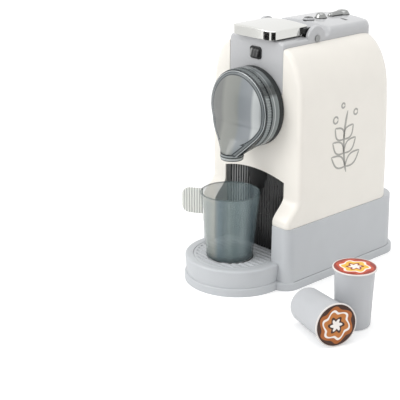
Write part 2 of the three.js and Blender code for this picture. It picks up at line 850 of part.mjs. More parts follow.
// Height of the spine's centre line at y
function spineHeightAt(y) {
  const start = raisedFront + raisedSlope;
  const roundStart = spineBack - spineBackRound;
  const along = THREE.MathUtils.clamp((y - start) / (roundStart - start), 0, 1);
  const rise = (raisedHeight - deckHeight) * raisedShareAt(y);
  const share = THREE.MathUtils.clamp((y - roundStart) / spineBackRound, 0, 1);
  const drop = raisedFall * along + spineBackDrop * (1 - Math.sqrt(1 - share ** 2));
  return deckHeight + rise - drop;
}

// Half width of the spine at y, its rear corners round seen from above
function spineHalfAt(y, inset) {
  const round = spineCornerRound - inset;
  const start = spineBack - spineCornerRound;
  const share = THREE.MathUtils.clamp((y - start) / round, 0, 1);
  return spineHalfWidth - inset - round * (1 - Math.sqrt(1 - share ** 2));
}

function spineRing(y, inset, foot) {
  const edge = THREE.MathUtils.lerp(deckEdgeHeight, panelEdgeHeight, raisedShareAt(y));
  const half = spineHalfAt(y, inset);
  const top = spineHeightAt(y) - inset;
  const flank = [new THREE.Vector3(half, y, foot)];
  shares(edgeSteps).forEach((share) => {
    const turn = (share * Math.PI) / 2;
    const x = half - deckEdgeWidth * (1 - Math.cos(turn));
    flank.push(new THREE.Vector3(x, y, top - crownDrop - edge * (1 - Math.sin(turn))));
  });
  shares(cornerSteps).slice(1, -1).forEach((share) => {
    const x = (half - deckEdgeWidth) * (1 - share);
    flank.push(new THREE.Vector3(x, y, top - crownDrop * (1 - share) ** 2));
  });
  const mirrored = flank.map((p) => new THREE.Vector3(-p.x, y, p.z)).reverse();
  return [...flank, new THREE.Vector3(0, y, top), ...mirrored];
}

function spineBlock(inset, foot) {
  const start = spineBack - spineCornerRound;
  const stations = [bodyFront + inset, raisedFront, raisedFront + raisedSlope / 2];
  stations.push(raisedFront + raisedSlope);
  shares(cornerSteps + 1).forEach((share) => {
    stations.push(start + (spineCornerRound - inset) * Math.sin((share * Math.PI) / 2));
  });
  return loft(stations.map((y) => spineRing(y, inset, foot)));
}

// Pits beside the ears, in which the lever's knuckles turn
const knucklePits = (grow) =>
  [-1, 1].map((side) => {
    const reach = knuckleRadius + runningGap + grow;
    return block(
      onSide(side, knuckleInner - runningGap - grow, earInner),
      about(pivotY, reach),
      [pivotZ - reach, raisedHeight + earRadius],
    );
  });

const boardPosts = () =>
  [-1, 1].flatMap((side) =>
    [boardFront + stemRadius, boardBack - stemRadius].map((y) => {
      const heights = [boardTop + seat, spineHeightAt(y) - wall];
      return cylinder(stemRadius, heights, smallRound, side * (boardHalfWidth - stemRadius), y);
    }),
  );

// Holes in the spine for the holder's mouth, the buttons, the knob and the hinge pins
function spineHoles() {
  const up = [spineFoot, raisedHeight + overrun];
  const mouth = cylinder(holderMouthRadius, up, mediumRound, 0, holderY);
  const buttons = topButtonPlaces.map(([y, r]) => cylinder(r + runningGap, up, mediumRound, 0, y));
  const knob = cylinder(stemRadius + runningGap, up, smallRound, 0, knobY);
  const front = standingPlate(
    frontButtonHalfWidth + runningGap,
    about(frontButtonZ, frontButtonHalfHeight + runningGap),
    frontButtonRound,
    [bodyFront - overrun, bodyFront + wall + overrun],
  );
  const pins = [-1, 1].map((side) => {
    const along = onSide(side, earInner - overrun, spineHalfWidth + overrun);
    return cylinderAlongX(knucklePinRadius + seat, along, smallRound, pivotY, pivotZ);
  });
  return joined(mouth, ...buttons, knob, front, ...pins);
}

function topSpine() {
  const outer = spineBlock(0, spineFoot);
  const stripTop = deckHeight - crownDrop - deckEdgeHeight;
  const front = [bodyFront, bodyFront + wall];
  const strip = block(about(0, spineHalfWidth), front, [stripBottom, stripTop]);
  const ears = [-1, 1].map((side) =>
    cylinderAlongX(earRadius, onSide(side, earInner, spineHalfWidth), mediumRound, pivotY, pivotZ),
  );
  const pitShells = knucklePits(pitWall).map((pit) => pit.intersect(outer));
  const hollow = without(spineBlock(wall, spineFoot - overrun), ...pitShells);
  const shell = joined(outer.subtract(hollow), strip, ...ears, ...boardPosts());
  return without(shell, ...knucklePits(0), spineHoles());
}

// Plate behind the tank's hole in the body, and the lamp that it carries
function lampPlate() {
  const radius = bossRadius + lampPlateMargin;
  const depth = [behindFront, behindFront + lampPlateThick];
  const disc = cylinderAlongY(radius, depth, mediumRound, 0, tankHeight);
  return disc.subtract(cylinderAlongY(lampBore, about(behindFront, wall), smallRound, 0, tankHeight));
}

function tankLamp() {
  const back = behindFront + lampPlateThick + seat / 2;
  const domeFoot = back - lampLength + lampRadius;
  const profile = [[0, back + lampFlangeThick], [lampRadius + lampFlange, back + lampFlangeThick]];
  profile.push([lampRadius + lampFlange, back], [lampRadius, back]);
  shares(edgeSteps).forEach((share) => {
    const turn = (share * Math.PI) / 2;
    profile.push([lampRadius * Math.cos(turn), domeFoot - lampRadius * Math.sin(turn)]);
  });
  return turnedAlongY(profile, smallRound, 0, tankHeight);
}

// Chromed cap of the lever: a shell, open below and at its back
function leverRing(inset, z, back = leverCapBack) {
  const front = leverFront + inset;
  return plateRing(leverHalfWidth - inset, front, back, leverCornerRound - inset, leverEdge / 2, z);
}

function leverCap() {
  const outer = loft([
    leverRing(0, leverBottom),
    leverRing(0, leverTop - leverEdge),
    leverRing(leverEdge / 3, leverTop - leverEdge / 3),
    leverRing(leverEdge, leverTop),
  ]);
  const underside = [leverBottom - overrun, leverTop - leverCapWall];
  const hollow = loft(underside.map((z) => leverRing(leverCapWall, z)));
  const backCut = block(
    about(0, leverHalfWidth - leverCapWall),
    [leverCapBack - leverEdge - overrun, leverCapBack + overrun],
    underside,
  );
  return without(outer, hollow, backCut);
}

// Black arm: it fills the cap, closes its back and reaches down to two knuckles
function leverArm() {
  const inset = leverCapWall + seat;
  const fillerHeights = [leverBottom, leverTop - inset];
  const filler = loft(fillerHeights.map((z) => leverRing(inset, z, leverCapBack + leverEdge)));
  const bridgeDepth = [leverCapBack + seat, armBack];
  const bridge = block(about(0, knuckleOuter), bridgeDepth, [leverBottom, leverTop - seat]);
  const arms = [-1, 1].flatMap((side) => {
    const across = onSide(side, knuckleInner, knuckleOuter);
    const web = block(across, [pivotY - knuckleRadius, armBack], [pivotZ, leverTop - leverEdge]);
    return [cylinderAlongX(knuckleRadius, across, mediumRound, pivotY, pivotZ), web];
  });
  const bores = [-1, 1].map((side) => {
    const along = onSide(side, knuckleInner - overrun, knuckleOuter + overrun);
    return cylinderAlongX(knucklePinRadius + seat, along, smallRound, pivotY, pivotZ);
  });
  return without(joined(filler, bridge, ...arms), ...bores);
}

// Hinge pin on one side, its head outside the ear
function leverPin(side) {
  const face = spineHalfWidth + seat / 2;
  const shankAlong = onSide(side, knuckleInner + seat, face);
  const shank = cylinderAlongX(knucklePinRadius, shankAlong, smallRound, pivotY, pivotZ);
  const headAlong = onSide(side, face, face + pinHeadThick);
  return shank.add(cylinderAlongX(pinHeadRadius, headAlong, smallRound, pivotY, pivotZ));
}

function capsuleHolder() {
  const foot = holderTop - holderDepth;
  const profile = [
    [0, foot - holderWall],
    [holderFootRadius + holderWall, foot - holderWall],
    [holderRadius, holderTop],
    [holderMouthRadius, holderTop],
    [holderFootRadius, foot],
    [0, foot],
  ];
  return turned(profile, mediumRound, 0, holderY);
}

// Tank: a domed face that narrows to the spout, a drum behind it and a sealing ring

// Half width and height at which a line from the spout's edge touches the face's rim
function funnelTouch() {
  const drop = tankHeight - spoutBottom;
  const span = Math.hypot(spoutRadius, drop);
  const angle = Math.atan2(-drop, spoutRadius) + Math.acos(faceRadius / span);
  return [faceRadius * Math.cos(angle), tankHeight + faceRadius * Math.sin(angle)];
}

function funnelHalfWidthAt(z) {
  const [half, height] = funnelTouch();
  const share = (z - spoutBottom) / (height - spoutBottom);
  return spoutRadius + (half - spoutRadius) * THREE.MathUtils.clamp(share, 0, 1);
}

function funnel(inset) {
  const rings = shares(cornerSteps + 1).map((share) => {
    const z = THREE.MathUtils.lerp(spoutBottom, funnelTop, share);
    const half = funnelHalfWidthAt(z) - inset;
    const ease = THREE.MathUtils.smoothstep(share, 0, 1);
    const faceWall = faceFront - faceDome / 3;
    const front = THREE.MathUtils.lerp(cupY - spoutRadius, faceWall, ease) + inset;
    const back = THREE.MathUtils.lerp(cupY + spoutRadius, drumFront, ease) - inset;
    const round = Math.min(half, (back - front) / 2);
    return plateRing(half, front, back, round, round, z);
  });
  return loft(rings);
}

// The face's disc, its dome a parabola across the face
function faceDisc(inset, back) {
  const radius = faceRadius - inset;
  const rim = faceFront + inset;
  const profile = [[0, back], [radius, back], [radius, faceFront]];
  shares(cornerSteps).slice(1, -1).forEach((share) => {
    const rShare = 1 - share ** 2;
    profile.push([radius * rShare, rim - faceDome * (1 - rShare ** 2)]);
  });
  profile.push([0, rim - faceDome]);
  return turnedAlongY(profile, largeRound, 0, tankHeight);
}

function tankFace() {
  const outer = faceDisc(0, drumFront).add(funnel(0));
  const hollow = faceDisc(tankWall, drumFront + overrun).add(funnel(tankWall));
  const bore = cylinder(spoutBore, about(spoutBottom, tankWall + overrun), mediumRound, 0, cupY);
  const posts = tankScrewPlaces.map(([x, z]) =>
    cylinderAlongY(postRadius, [faceFront - seat, drumFront], smallRound, x, z).intersect(outer),
  );
  const pilotDepth = [drumFront - screwLength / 2, drumFront + overrun];
  const pilots = tankScrewPlaces.map(([x, z]) =>
    cylinderAlongY(screwRadius / 2 + seat, pilotDepth, smallRound, x, z),
  );
  return without(joined(without(outer, hollow), ...posts), bore, ...pilots);
}

function tankDrum() {
  const front = drumFront + seat;
  const inside = drumRadius - tankWall;
  const floor = drumBack - tankWall;
  const profile = [[0, drumBack], [drumRadius, drumBack], [drumRadius, front]];
  profile.push([inside, front], [inside, floor], [0, floor]);
  const cupped = turnedAlongY(profile, largeRound, 0, tankHeight);
  const bossBack = bodyFront + bossLength;
  const bossDepth = [drumBack - tankWall / 2, bossBack];
  const boss = cylinderAlongY(bossRadius, bossDepth, mediumRound, 0, tankHeight);
  const boreDepth = [drumBack - tankWall / 4, bossBack + overrun];
  const bossBore = cylinderAlongY(bossRadius - tankWall, boreDepth, mediumRound, 0, tankHeight);
  const holes = tankScrewPlaces.map(([x, z]) =>
    cylinderAlongY(screwRadius / 2 + seat, [drumFront, drumBack + overrun], smallRound, x, z),
  );
  return without(cupped.add(boss), bossBore, ...holes);
}

function tankGasket() {
  const depth = [drumBack + seat, bodyFront - seat];
  const ring = cylinderAlongY(drumRadius, depth, largeRound, 0, tankHeight);
  const cut = about(bodyFront, drumRadius);
  return ring.subtract(cylinderAlongY(drumRadius - gasketWidth, cut, largeRound, 0, tankHeight));
}

function spoutCollar() {
  const top = spoutBottom - seat;
  const foot = top - collarHeight;
  const profile = [[spoutBore, foot], [spoutRadius, foot]];
  profile.push([spoutRadius + collarProud, (top + foot) / 2], [spoutRadius, top], [spoutBore, top]);
  return turned(profile, mediumRound, 0, cupY);
}

// Small screw that holds the drum to the face, its head against the drum's floor
function tankScrew(x, z) {
  const tip = drumFront - screwLength / 3;
  const headBack = drumBack - tankWall - seat;
  const headFront = headBack - screwHeadThick;
  const profile = [[0, tip], [screwRadius / 2, tip], [screwRadius / 2, headFront]];
  profile.push([screwRadius, headFront], [screwRadius, headBack], [0, headBack]);
  return turnedAlongY(profile, smallRound, x, z);
}

// Cup with its ribbed tab, which points along +X until the cup is turned
function cupTab(top) {
  const foot = top - tabHeight;
  const middle = cupRimRadius + tabReach - tabRound;
  const shape = new THREE.Shape();
  shape.moveTo(cupFootRadius, foot);
  shape.lineTo(middle, foot);
  shape.absarc(middle, foot + tabRound, tabRound, -Math.PI / 2, 0);
  shape.absarc(middle, top - tabRound, tabRound, 0, Math.PI / 2);
  shape.lineTo(cupFootRadius, top);
  const settings = { depth: tabThick, bevelEnabled: false, curveSegments: cornerSteps };
  const tab = new THREE.ExtrudeGeometry(shape, settings);
  return solid(tab.translate(0, 0, -tabThick / 2).rotateX(Math.PI / 2));
}

function cupSolid() {
  const foot = trayTop - grooveDepth + seat;
  const top = foot + cupHeight;
  const floor = foot + cupFloor;
  const insideFoot = cupFootRadius - cupWall;
  const insideRim = cupRimRadius - cupWall;
  const outline = [[0, foot], [cupFootRadius, foot], [cupRimRadius, top], [insideRim, top]];
  const bowl = turned([...outline, [insideFoot, floor], [0, floor]], largeRound);
  const room = [[0, floor], [insideFoot, floor], [insideRim, top + overrun], [0, top + overrun]];
  const tab = cupTab(top - tabTopDrop).subtract(turned(room, largeRound));
  return bowl.add(tab).rotate([0, 0, tabHeading]).translate([-cupAside, cupY - cupAside, 0]);
}

// Capsule beaker and lid, standing on the origin
function capsuleBeaker() {
  const rimFoot = capsuleHeight - capsuleRimThick;
  const seatHeight = capsuleHeight - lidThick;
  const seatRadius = capsuleRimRadius - lidMargin;
  const outside = [
    [0, 0],
    [capsuleFootRadius - capsuleChamfer, 0],
    [capsuleFootRadius, capsuleChamfer],
    [capsuleNeckRadius, rimFoot],
    [capsuleRimRadius, rimFoot],
    [capsuleRimRadius, capsuleHeight],
  ];
  const inside = [
    [seatRadius, capsuleHeight],
    [seatRadius, seatHeight],
    [capsuleNeckRadius - capsuleWall, seatHeight],
    [capsuleFootRadius - capsuleWall, capsuleWall],
    [0, capsuleWall],
  ];
  return turned([...outside, ...inside], mediumRound);
}

function capsuleLid() {
  const heights = [capsuleHeight - lidThick + lidSeat, capsuleHeight];
  return cylinder(capsuleRimRadius - lidMargin - lidSeat, heights, mediumRound);
}

// Buttons on the top: a cap, a flange under the deck and a stem over its switch
function topButton(y, radius, proud, cap) {
  const deck = spineHeightAt(y);
  const under = deck - wall - crownDrop - seat;
  const flangeFoot = under - flangeThick;
  const flangeRadius = radius + flangeProud;
  const stemFoot = boardTop + switchTall + seat + buttonTravel;
  const stem = [[0, stemFoot], [stemRadius, stemFoot], [stemRadius, flangeFoot]];
  const flange = [[flangeRadius, flangeFoot], [flangeRadius, under], [radius, under]];
  const profile = [...stem, ...flange, ...cap(radius, deck, proud), [0, deck + proud]];
  return turned(profile, mediumRound, 0, y);
}

const powerCap = (radius, deck, proud) => [
  [radius, deck + proud / 2],
  [radius - proud / 2, deck + proud],
];

const brewCap = (radius, deck, proud) => [
  [radius, deck + runningGap],
  [radius * brewCapShare, deck + proud * brewCapShare],
  [radius * brewCapShare ** 2, deck + proud],
];

// Coil spring between the board and a button's flange: a helix of rings
function buttonSpring(y) {
  const foot = boardTop + seat + springWire;
  const flangeFoot = spineHeightAt(y) - wall - crownDrop - seat - flangeThick;
  const top = flangeFoot - seat - springWire;
  const rings = shares(springTurns * coilSteps).map((share) => {
    const angle = share * springTurns * 2 * Math.PI;
    const z = THREE.MathUtils.lerp(foot, top, share);
    return shares(wireSides).slice(1).map((part) => {
      const turn = part * 2 * Math.PI;
      const r = springRadius + springWire * Math.cos(turn);
      const height = z + springWire * Math.sin(turn);
      return new THREE.Vector3(r * Math.cos(angle), y + r * Math.sin(angle), height);
    });
  });
  return loft(rings);
}

// Knob: a domed hub with a pointer that lies forward over the top, and a shaft
function selectorKnob() {
  const deck = spineHeightAt(knobY - knobRadius) + seat;
  const shaftFoot = boardTop + seat;
  const profile = [[0, shaftFoot], [stemRadius, shaftFoot], [stemRadius, deck], [knobRadius, deck]];
  shares(cornerSteps).forEach((share) => {
    const turn = (share * Math.PI) / 2;
    const riseShare = knobBrimShare + (1 - knobBrimShare) * Math.sin(turn);
    profile.push([knobRadius * Math.cos(turn), deck + knobProud * riseShare]);
  });
  const hub = turned(profile, mediumRound, 0, knobY);
  const tip = knobY - knobArm;
  const rootHalf = knobRadius * knobRootShare;
  const pointer = new THREE.Shape();
  pointer.absarc(0, tip + knobTipRadius, knobTipRadius, Math.PI, 2 * Math.PI);
  pointer.lineTo(rootHalf, knobY);
  pointer.lineTo(-rootHalf, knobY);
  const settings = { depth: knobArmHeight, bevelEnabled: false, curveSegments: cornerSteps };
  const arm = new THREE.ExtrudeGeometry(pointer, settings);
  return hub.add(solid(arm.translate(0, 0, spineHeightAt(tip) + seat)));
}

function frontButton() {
  const cap = standingPlate(
    frontButtonHalfWidth,
    about(frontButtonZ, frontButtonHalfHeight),
    frontButtonRound - seat,
    [bodyFront - frontButtonProud, behindFront],
  );
  const flange = standingPlate(
    frontButtonHalfWidth + flangeProud,
    about(frontButtonZ, frontButtonHalfHeight + flangeProud),
    frontButtonRound,
    [behindFront, behindFront + frontFlangeThick],
  );
  return cap.add(flange);
}

function controlBoard() {
  const heights = [boardTop - boardThick, boardTop];
  const sheet = block(about(0, boardHalfWidth), [boardFront, boardBack], heights);
  const switchHeights = [boardTop - boardThick / 2, boardTop + switchTall];
  const switches = topButtonPlaces.map(([y]) =>
    block(about(0, switchHalf), about(y, switchHalf), switchHeights),
  );
  return joined(sheet, ...switches);
}

function speaker() {
  const foot = wall + seat;
  const top = foot + speakerDepth;
  const cone = foot + speakerDepth / 3;
  const magnet = (foot + top) / 2;
  const magnetRadius = speakerRadius / 2;
  const profile = [[0, foot], [speakerRadius, foot], [speakerRadius, cone]];
  profile.push([magnetRadius, magnet], [magnetRadius, top], [0, top]);
  return turned(profile, mediumRound, 0, speakerY);
}

const finish = {
  cream: { color: 0xf4f0ea, roughness: 0.35, metalness: 0 },
  grey: { color: 0xb9bdbf, roughness: 0.4, metalness: 0 },
  black: { color: 0x1a1b1d, roughness: 0.45, metalness: 0 },
  chrome: { color: 0xe6e6e4, roughness: 0.08, metalness: 1 },
  smoke: { color: 0x66706f, roughness: 0.2, metalness: 0, transparent: true, opacity: 0.7 },
  seal: { color: 0x232829, roughness: 0.6, metalness: 0 },
  capsule: { color: 0xb4b8bb, roughness: 0.45, metalness: 0 },
  lidWarm: { color: 0x9c5a24, roughness: 0.4, metalness: 0 },
  lidRed: { color: 0xb8452c, roughness: 0.4, metalness: 0 },
  steel: { color: 0x9a9c9e, roughness: 0.35, metalness: 1 },
  board: { color: 0x2f6b46, roughness: 0.6, metalness: 0 },
  cell: { color: 0x3c6a3a, roughness: 0.4, metalness: 0 },
};

const root = new THREE.Group();

function piece(name, shape, look, parent = root) {
  const mesh = new THREE.Mesh(geometryOf(shape), new THREE.MeshStandardMaterial(finish[look]));
  mesh.name = name;
  parent.add(mesh);
  return mesh;
}

piece("base_housing", baseHousing(), "grey");
piece("base_cover", baseCover(), "grey");
piece("battery_door", batteryDoor(), "grey");
for (let i = 0; i < cellCount; i++) {
  const y = batteryY + (i - (cellCount - 1) / 2) * cellPitch;
  const mesh = piece("cell_" + (i + 1), cell(), "cell");
  mesh.rotation.y = (i % 2 ? -1 : 1) * (Math.PI / 2);
  mesh.position.set(0, y, cellHeight);
}
[-1, 1].forEach((side) => {
  const name = side < 0 ? "battery_contact_left" : "battery_contact_right";
  piece(name, batteryContact(side), "steel");
});
baseScrewPlaces.forEach(([x, y], i) => {
  const mesh = piece("base_screw_" + (i + 1), screwSolid(0), "steel");
  mesh.rotation.x = Math.PI;
  mesh.position.set(x, y, seat / 2);
});
const doorScrew = piece("battery_door_screw", screwSolid(0), "steel");
doorScrew.rotation.x = Math.PI;
doorScrew.position.set(0, doorScrewY, seat / 2);
piece("speaker", speaker(), "black");
piece("drip_grid", dripGrid(), "grey");
piece("cup", cupSolid(), "smoke");

piece("body_shell", bodyShell(), "cream");
piece("rear_panel", rearPanel(), "cream");
panelScrewPlaces.forEach(([x, z], i) => {
  const mesh = piece("rear_screw_" + (i + 1), screwSolid(0), "steel");
  mesh.rotation.x = -Math.PI / 2;
  mesh.position.set(x, panelFace, z);
});
piece("recess_insert", recessInsert(), "black");
piece("top_spine", topSpine(), "grey");
piece("lever_cap", leverCap(), "chrome");
piece("lever_arm", leverArm(), "black");
piece("lever_pin_left", leverPin(-1), "steel");
piece("lever_pin_right", leverPin(1), "steel");
piece("capsule_holder", capsuleHolder(), "grey");

piece("lamp_plate", lampPlate(), "grey");
piece("tank_lamp", tankLamp(), "smoke");
piece("tank_face", tankFace(), "smoke");
piece("tank_drum", tankDrum(), "smoke");
piece("tank_gasket", tankGasket(), "seal");
piece("spout_collar", spoutCollar(), "smoke");
tankScrewPlaces.forEach(([x, z], i) => piece("tank_screw_" + (i + 1), tankScrew(x, z), "steel"));

piece("power_button", topButton(powerY, powerRadius, powerProud, powerCap), "grey");
piece("power_spring", buttonSpring(powerY), "steel");
piece("brew_button", topButton(brewY, brewRadius, brewProud, brewCap), "chrome");
piece("brew_spring", buttonSpring(brewY), "steel");
piece("selector_knob", selectorKnob(), "chrome");
piece("front_button", frontButton(), "black");
piece("control_board", controlBoard(), "board");

const upright = new THREE.Group();
upright.position.set(uprightX, uprightY, floorGap);
root.add(upright);
piece("capsule_upright", capsuleBeaker(), "capsule", upright);
piece("capsule_upright_lid", capsuleLid(), "lidRed", upright);

// The lying capsule rests on its rim and on the edge of its foot
const restLine = capsuleHeight - capsuleChamfer;
const restTilt = Math.atan2(capsuleRimRadius - capsuleFootRadius, restLine);
const lying = new THREE.Group();
lying.rotation.order = "ZYX";
lying.rotation.z = THREE.MathUtils.degToRad(lyingHeading) + Math.PI;
lying.rotation.y = Math.PI / 2 - restTilt;
const heading = THREE.MathUtils.degToRad(lyingHeading);
const lidRise = capsuleRimRadius * Math.cos(restTilt) + floorGap;
const axisRun = capsuleHeight * Math.cos(restTilt);
const axisFall = capsuleHeight * Math.sin(restTilt);
lying.position.set(
  lyingX + axisRun * Math.cos(heading),
  lyingY + axisRun * Math.sin(heading),
  lidRise - axisFall,
);
root.add(lying);
piece("capsule_lying", capsuleBeaker(), "capsule", lying);
piece("capsule_lying_lid", capsuleLid(), "lidWarm", lying);

export default root;
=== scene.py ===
import math
import bmesh
import bpy
import numpy as np
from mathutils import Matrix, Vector


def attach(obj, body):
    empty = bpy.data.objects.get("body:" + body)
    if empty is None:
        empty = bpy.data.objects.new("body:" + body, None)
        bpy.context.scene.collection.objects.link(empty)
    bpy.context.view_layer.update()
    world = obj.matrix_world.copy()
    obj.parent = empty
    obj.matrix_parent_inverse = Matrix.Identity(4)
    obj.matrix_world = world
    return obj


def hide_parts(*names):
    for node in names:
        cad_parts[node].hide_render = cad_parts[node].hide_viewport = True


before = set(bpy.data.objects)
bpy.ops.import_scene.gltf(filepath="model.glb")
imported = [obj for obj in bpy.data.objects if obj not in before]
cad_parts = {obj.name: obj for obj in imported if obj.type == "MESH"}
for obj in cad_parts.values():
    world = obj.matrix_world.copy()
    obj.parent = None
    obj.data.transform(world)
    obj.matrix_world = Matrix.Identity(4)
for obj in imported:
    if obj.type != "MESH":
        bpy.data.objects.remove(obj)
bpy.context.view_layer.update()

print("frame loaded:", len(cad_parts), "nodes")

millimetre = 0.001
quarter = math.pi / 2
fineRound = 96  # steps round a large revolved piece
smallSteps = 48  # steps round a small one
cornerSteps = 8  # steps in a rounded corner of an outline
filletSteps = 5  # steps in a fillet of a profile
sharpAngle = 40  # degrees; softer edges are shaded smooth
leastTurn = 0.01  # radians; a flatter corner gets no fillet
leastRound = 0.05  # the smallest corner that is drawn
hair = 0.01  # a length too small to see
mergeReach, slimReach = 2e-7, 1e-8  # metres; points closer than the first become one
overrun = 2.0  # how far a cutter goes past a face
farFront, farSide, farAbove = -120.0, 60.0, 230.0  # places beyond the machine, for cutters

# Colours and materials


def tint(red, green, blue):
    # sRGB values of 0 to 255 turned into linear light
    share = np.array([red, green, blue], float) / 255
    linear = np.where(share <= 0.04045, share / 12.92, ((share + 0.055) / 1.055) ** 2.4)
    return (*linear, 1.0)


def factor(value):
    # a number of 0 to 1 as the colour of a ramp's stop
    return (value, value, value, 1.0)


def shaded(colour, share):
    # a colour times a share, held between 0 and 1
    return (*(np.clip(np.array(colour[:3]) * share, 0, 1)), 1.0)


class Nodes:
    # adds and links the nodes of one material or world
    def __init__(self, holder):
        holder.use_nodes = True
        self.tree = holder.node_tree
        self.tree.nodes.clear()

    def add(self, kind, settings=None, **inputs):
        # a node with its settings; inputs are numbers, colours or sockets to link
        node = self.tree.nodes.new(kind)
        for key, value in (settings or {}).items():
            setattr(node, key, value)
        for key, value in inputs.items():
            self.feed(node, key.replace("_", " "), value)
        return node

    def feed(self, node, socket, value):
        # a socket takes a link from another socket, or a plain value
        target = node.inputs[socket]
        if isinstance(value, bpy.types.NodeSocket):
            self.tree.links.new(value, target)
        else:
            target.default_value = value

    def mathNode(self, operation, first, second=0.0):
        # one operation on one or two numbers or sockets
        node = self.add("ShaderNodeMath", {"operation": operation})
        self.feed(node, 0, first)
        self.feed(node, 1, second)
        return node.outputs[0]

    def ramp(self, share, stops):
        # colours between stops of (share, colour)
        node = self.add("ShaderNodeValToRGB", Fac=share)
        ramp = node.color_ramp
        while len(ramp.elements) < len(stops):
            ramp.elements.new(0.5)
        for element, (place, colour) in zip(ramp.elements, stops):
            element.position = place
            element.color = colour
        return node.outputs["Color"]

    def tints(self, share, stops):
        # a ramp whose colours are written as sRGB values
        return self.ramp(share, [(at, tint(*colour)) for at, colour in stops])

    def factors(self, share, stops):
        # a ramp between plain numbers
        return self.ramp(share, [(at, factor(value)) for at, value in stops])

    def between(self, share, low, high):
        # 0 to 1 stretched to the range from low to high
        return self.add("ShaderNodeMapRange", Value=share, To_Min=low, To_Max=high).outputs[0]

    def along(self, place, direction, start, end):
        # 0 to 1 between two distances in mm along a direction
        dot = self.add("ShaderNodeVectorMath", {"operation": "DOT_PRODUCT"})
        self.feed(dot, 0, place)
        self.feed(dot, 1, direction)
        run = (end - start) * millimetre
        share = self.mathNode("MULTIPLY", dot.outputs["Value"], 1 / run)
        return self.mathNode("SUBTRACT", share, start * millimetre / run)

    def length(self, first, second):
        # square root of the sum of two squares
        squares = [self.mathNode("MULTIPLY", side, side) for side in (first, second)]
        return self.mathNode("SQRT", self.mathNode("ADD", *squares))

    def mixed(self, share, first, second):
        # the first colour at 0, the second at 1
        node = self.add("ShaderNodeMix", {"data_type": "RGBA"})
        for socket, value in ((0, share), (6, first), (7, second)):
            self.feed(node, socket, value)
        return node.outputs[2]

    def close(self, shader, kind="ShaderNodeOutputMaterial"):
        # the shader to the output
        self.feed(self.add(kind), "Surface", shader.outputs[0])


def newLook(name):
    # an empty material, its nodes, and the place on the object in metres
    material = bpy.data.materials.new(name)
    n = Nodes(material)
    return material, n, n.add("ShaderNodeTexCoord").outputs["Object"]


moulded = {"mottleScale": 45.0, "mottle": 0.035, "grainScale": 2600.0, "grainHeight": 0.00002,
           "grainStrength": 0.15, "roughnessSpread": 0.06, "roughnessLeast": 0.02, "coatRoughness": 0.08,
           "streakFiner": 4, "streakStretch": 0.06, "mottleDetail": 3.0, "grainDetail": 2.0,
           "darkest": 0.3, "lightest": 0.7}
banded = {"cloudScale": 140.0, "cloudDetail": 2.0, "roughnessSpread": 0.05}


def zoned(name, direction, span, stops, roughness, alpha=1.0, coat=0.0, repeat=0, foot=None):
    # colour bands across a direction, used here to paint light and shade; with repeat they come again and
    # again, and with foot the ends in z turn to a second colour of painted shade and cover more
    material, n, place = newLook(name)
    share = n.along(place, direction, *span)
    if repeat:
        share = n.mathNode("FRACT", n.mathNode("MULTIPLY", share, float(repeat)))
    base = n.tints(share, stops)
    cloud = n.add("ShaderNodeTexNoise", Vector=place, Scale=banded["cloudScale"],
                  Detail=banded["cloudDetail"])
    spread = banded["roughnessSpread"]
    rough = n.between(cloud.outputs["Fac"], roughness - spread, roughness + spread)
    shader = n.add("ShaderNodeBsdfPrincipled", Roughness=rough, Alpha=alpha, Coat_Weight=coat)
    if foot:
        up = n.along(place, (0, 0, 1), *foot["span"])
        ends = n.factors(up, foot["share"])
        base = n.mixed(ends, base, tint(*foot["colour"]))
        n.feed(shader, "Alpha", n.between(ends, alpha, foot["alpha"]))
    n.feed(shader, "Base Color", base)
    n.close(shader)
    return material


def plastic(name, colour, roughness, alpha=1.0, metallic=0.0, streak=0.0, coat=0.0, mottle=None):
    # colour with a faint cloudy mottle, roughness that wanders a little, and a fine moulded grain
    m = moulded
    material, n, place = newLook(name)
    stretch = m["streakStretch"] if streak else 1.0
    stretched = n.add("ShaderNodeMapping", Vector=place, Scale=(1.0, 1.0, stretch))
    scale = m["mottleScale"] * (m["streakFiner"] if streak else 1)
    cloud = n.add("ShaderNodeTexNoise", Vector=stretched.outputs[0], Scale=scale,
                  Detail=m["mottleDetail"]).outputs["Fac"]
    spread = max(m["mottle"] if mottle is None else mottle, streak)
    base = n.ramp(cloud, [(m["darkest"], shaded(colour, 1 - spread)),
                          (m["lightest"], shaded(colour, 1 + spread))])
    rough = n.between(cloud, max(roughness - m["roughnessSpread"], m["roughnessLeast"]),
                      roughness + m["roughnessSpread"])
    grain = n.add("ShaderNodeTexNoise", Vector=place, Scale=m["grainScale"], Detail=m["grainDetail"])
    bump = n.add("ShaderNodeBump", Height=grain.outputs["Fac"], Strength=m["grainStrength"],
                 Distance=m["grainHeight"])
    n.close(n.add("ShaderNodeBsdfPrincipled", Base_Color=base, Roughness=rough, Normal=bump.outputs[0],
                  Metallic=metallic, Alpha=alpha, Coat_Weight=coat, Coat_Roughness=m["coatRoughness"]))
    return material


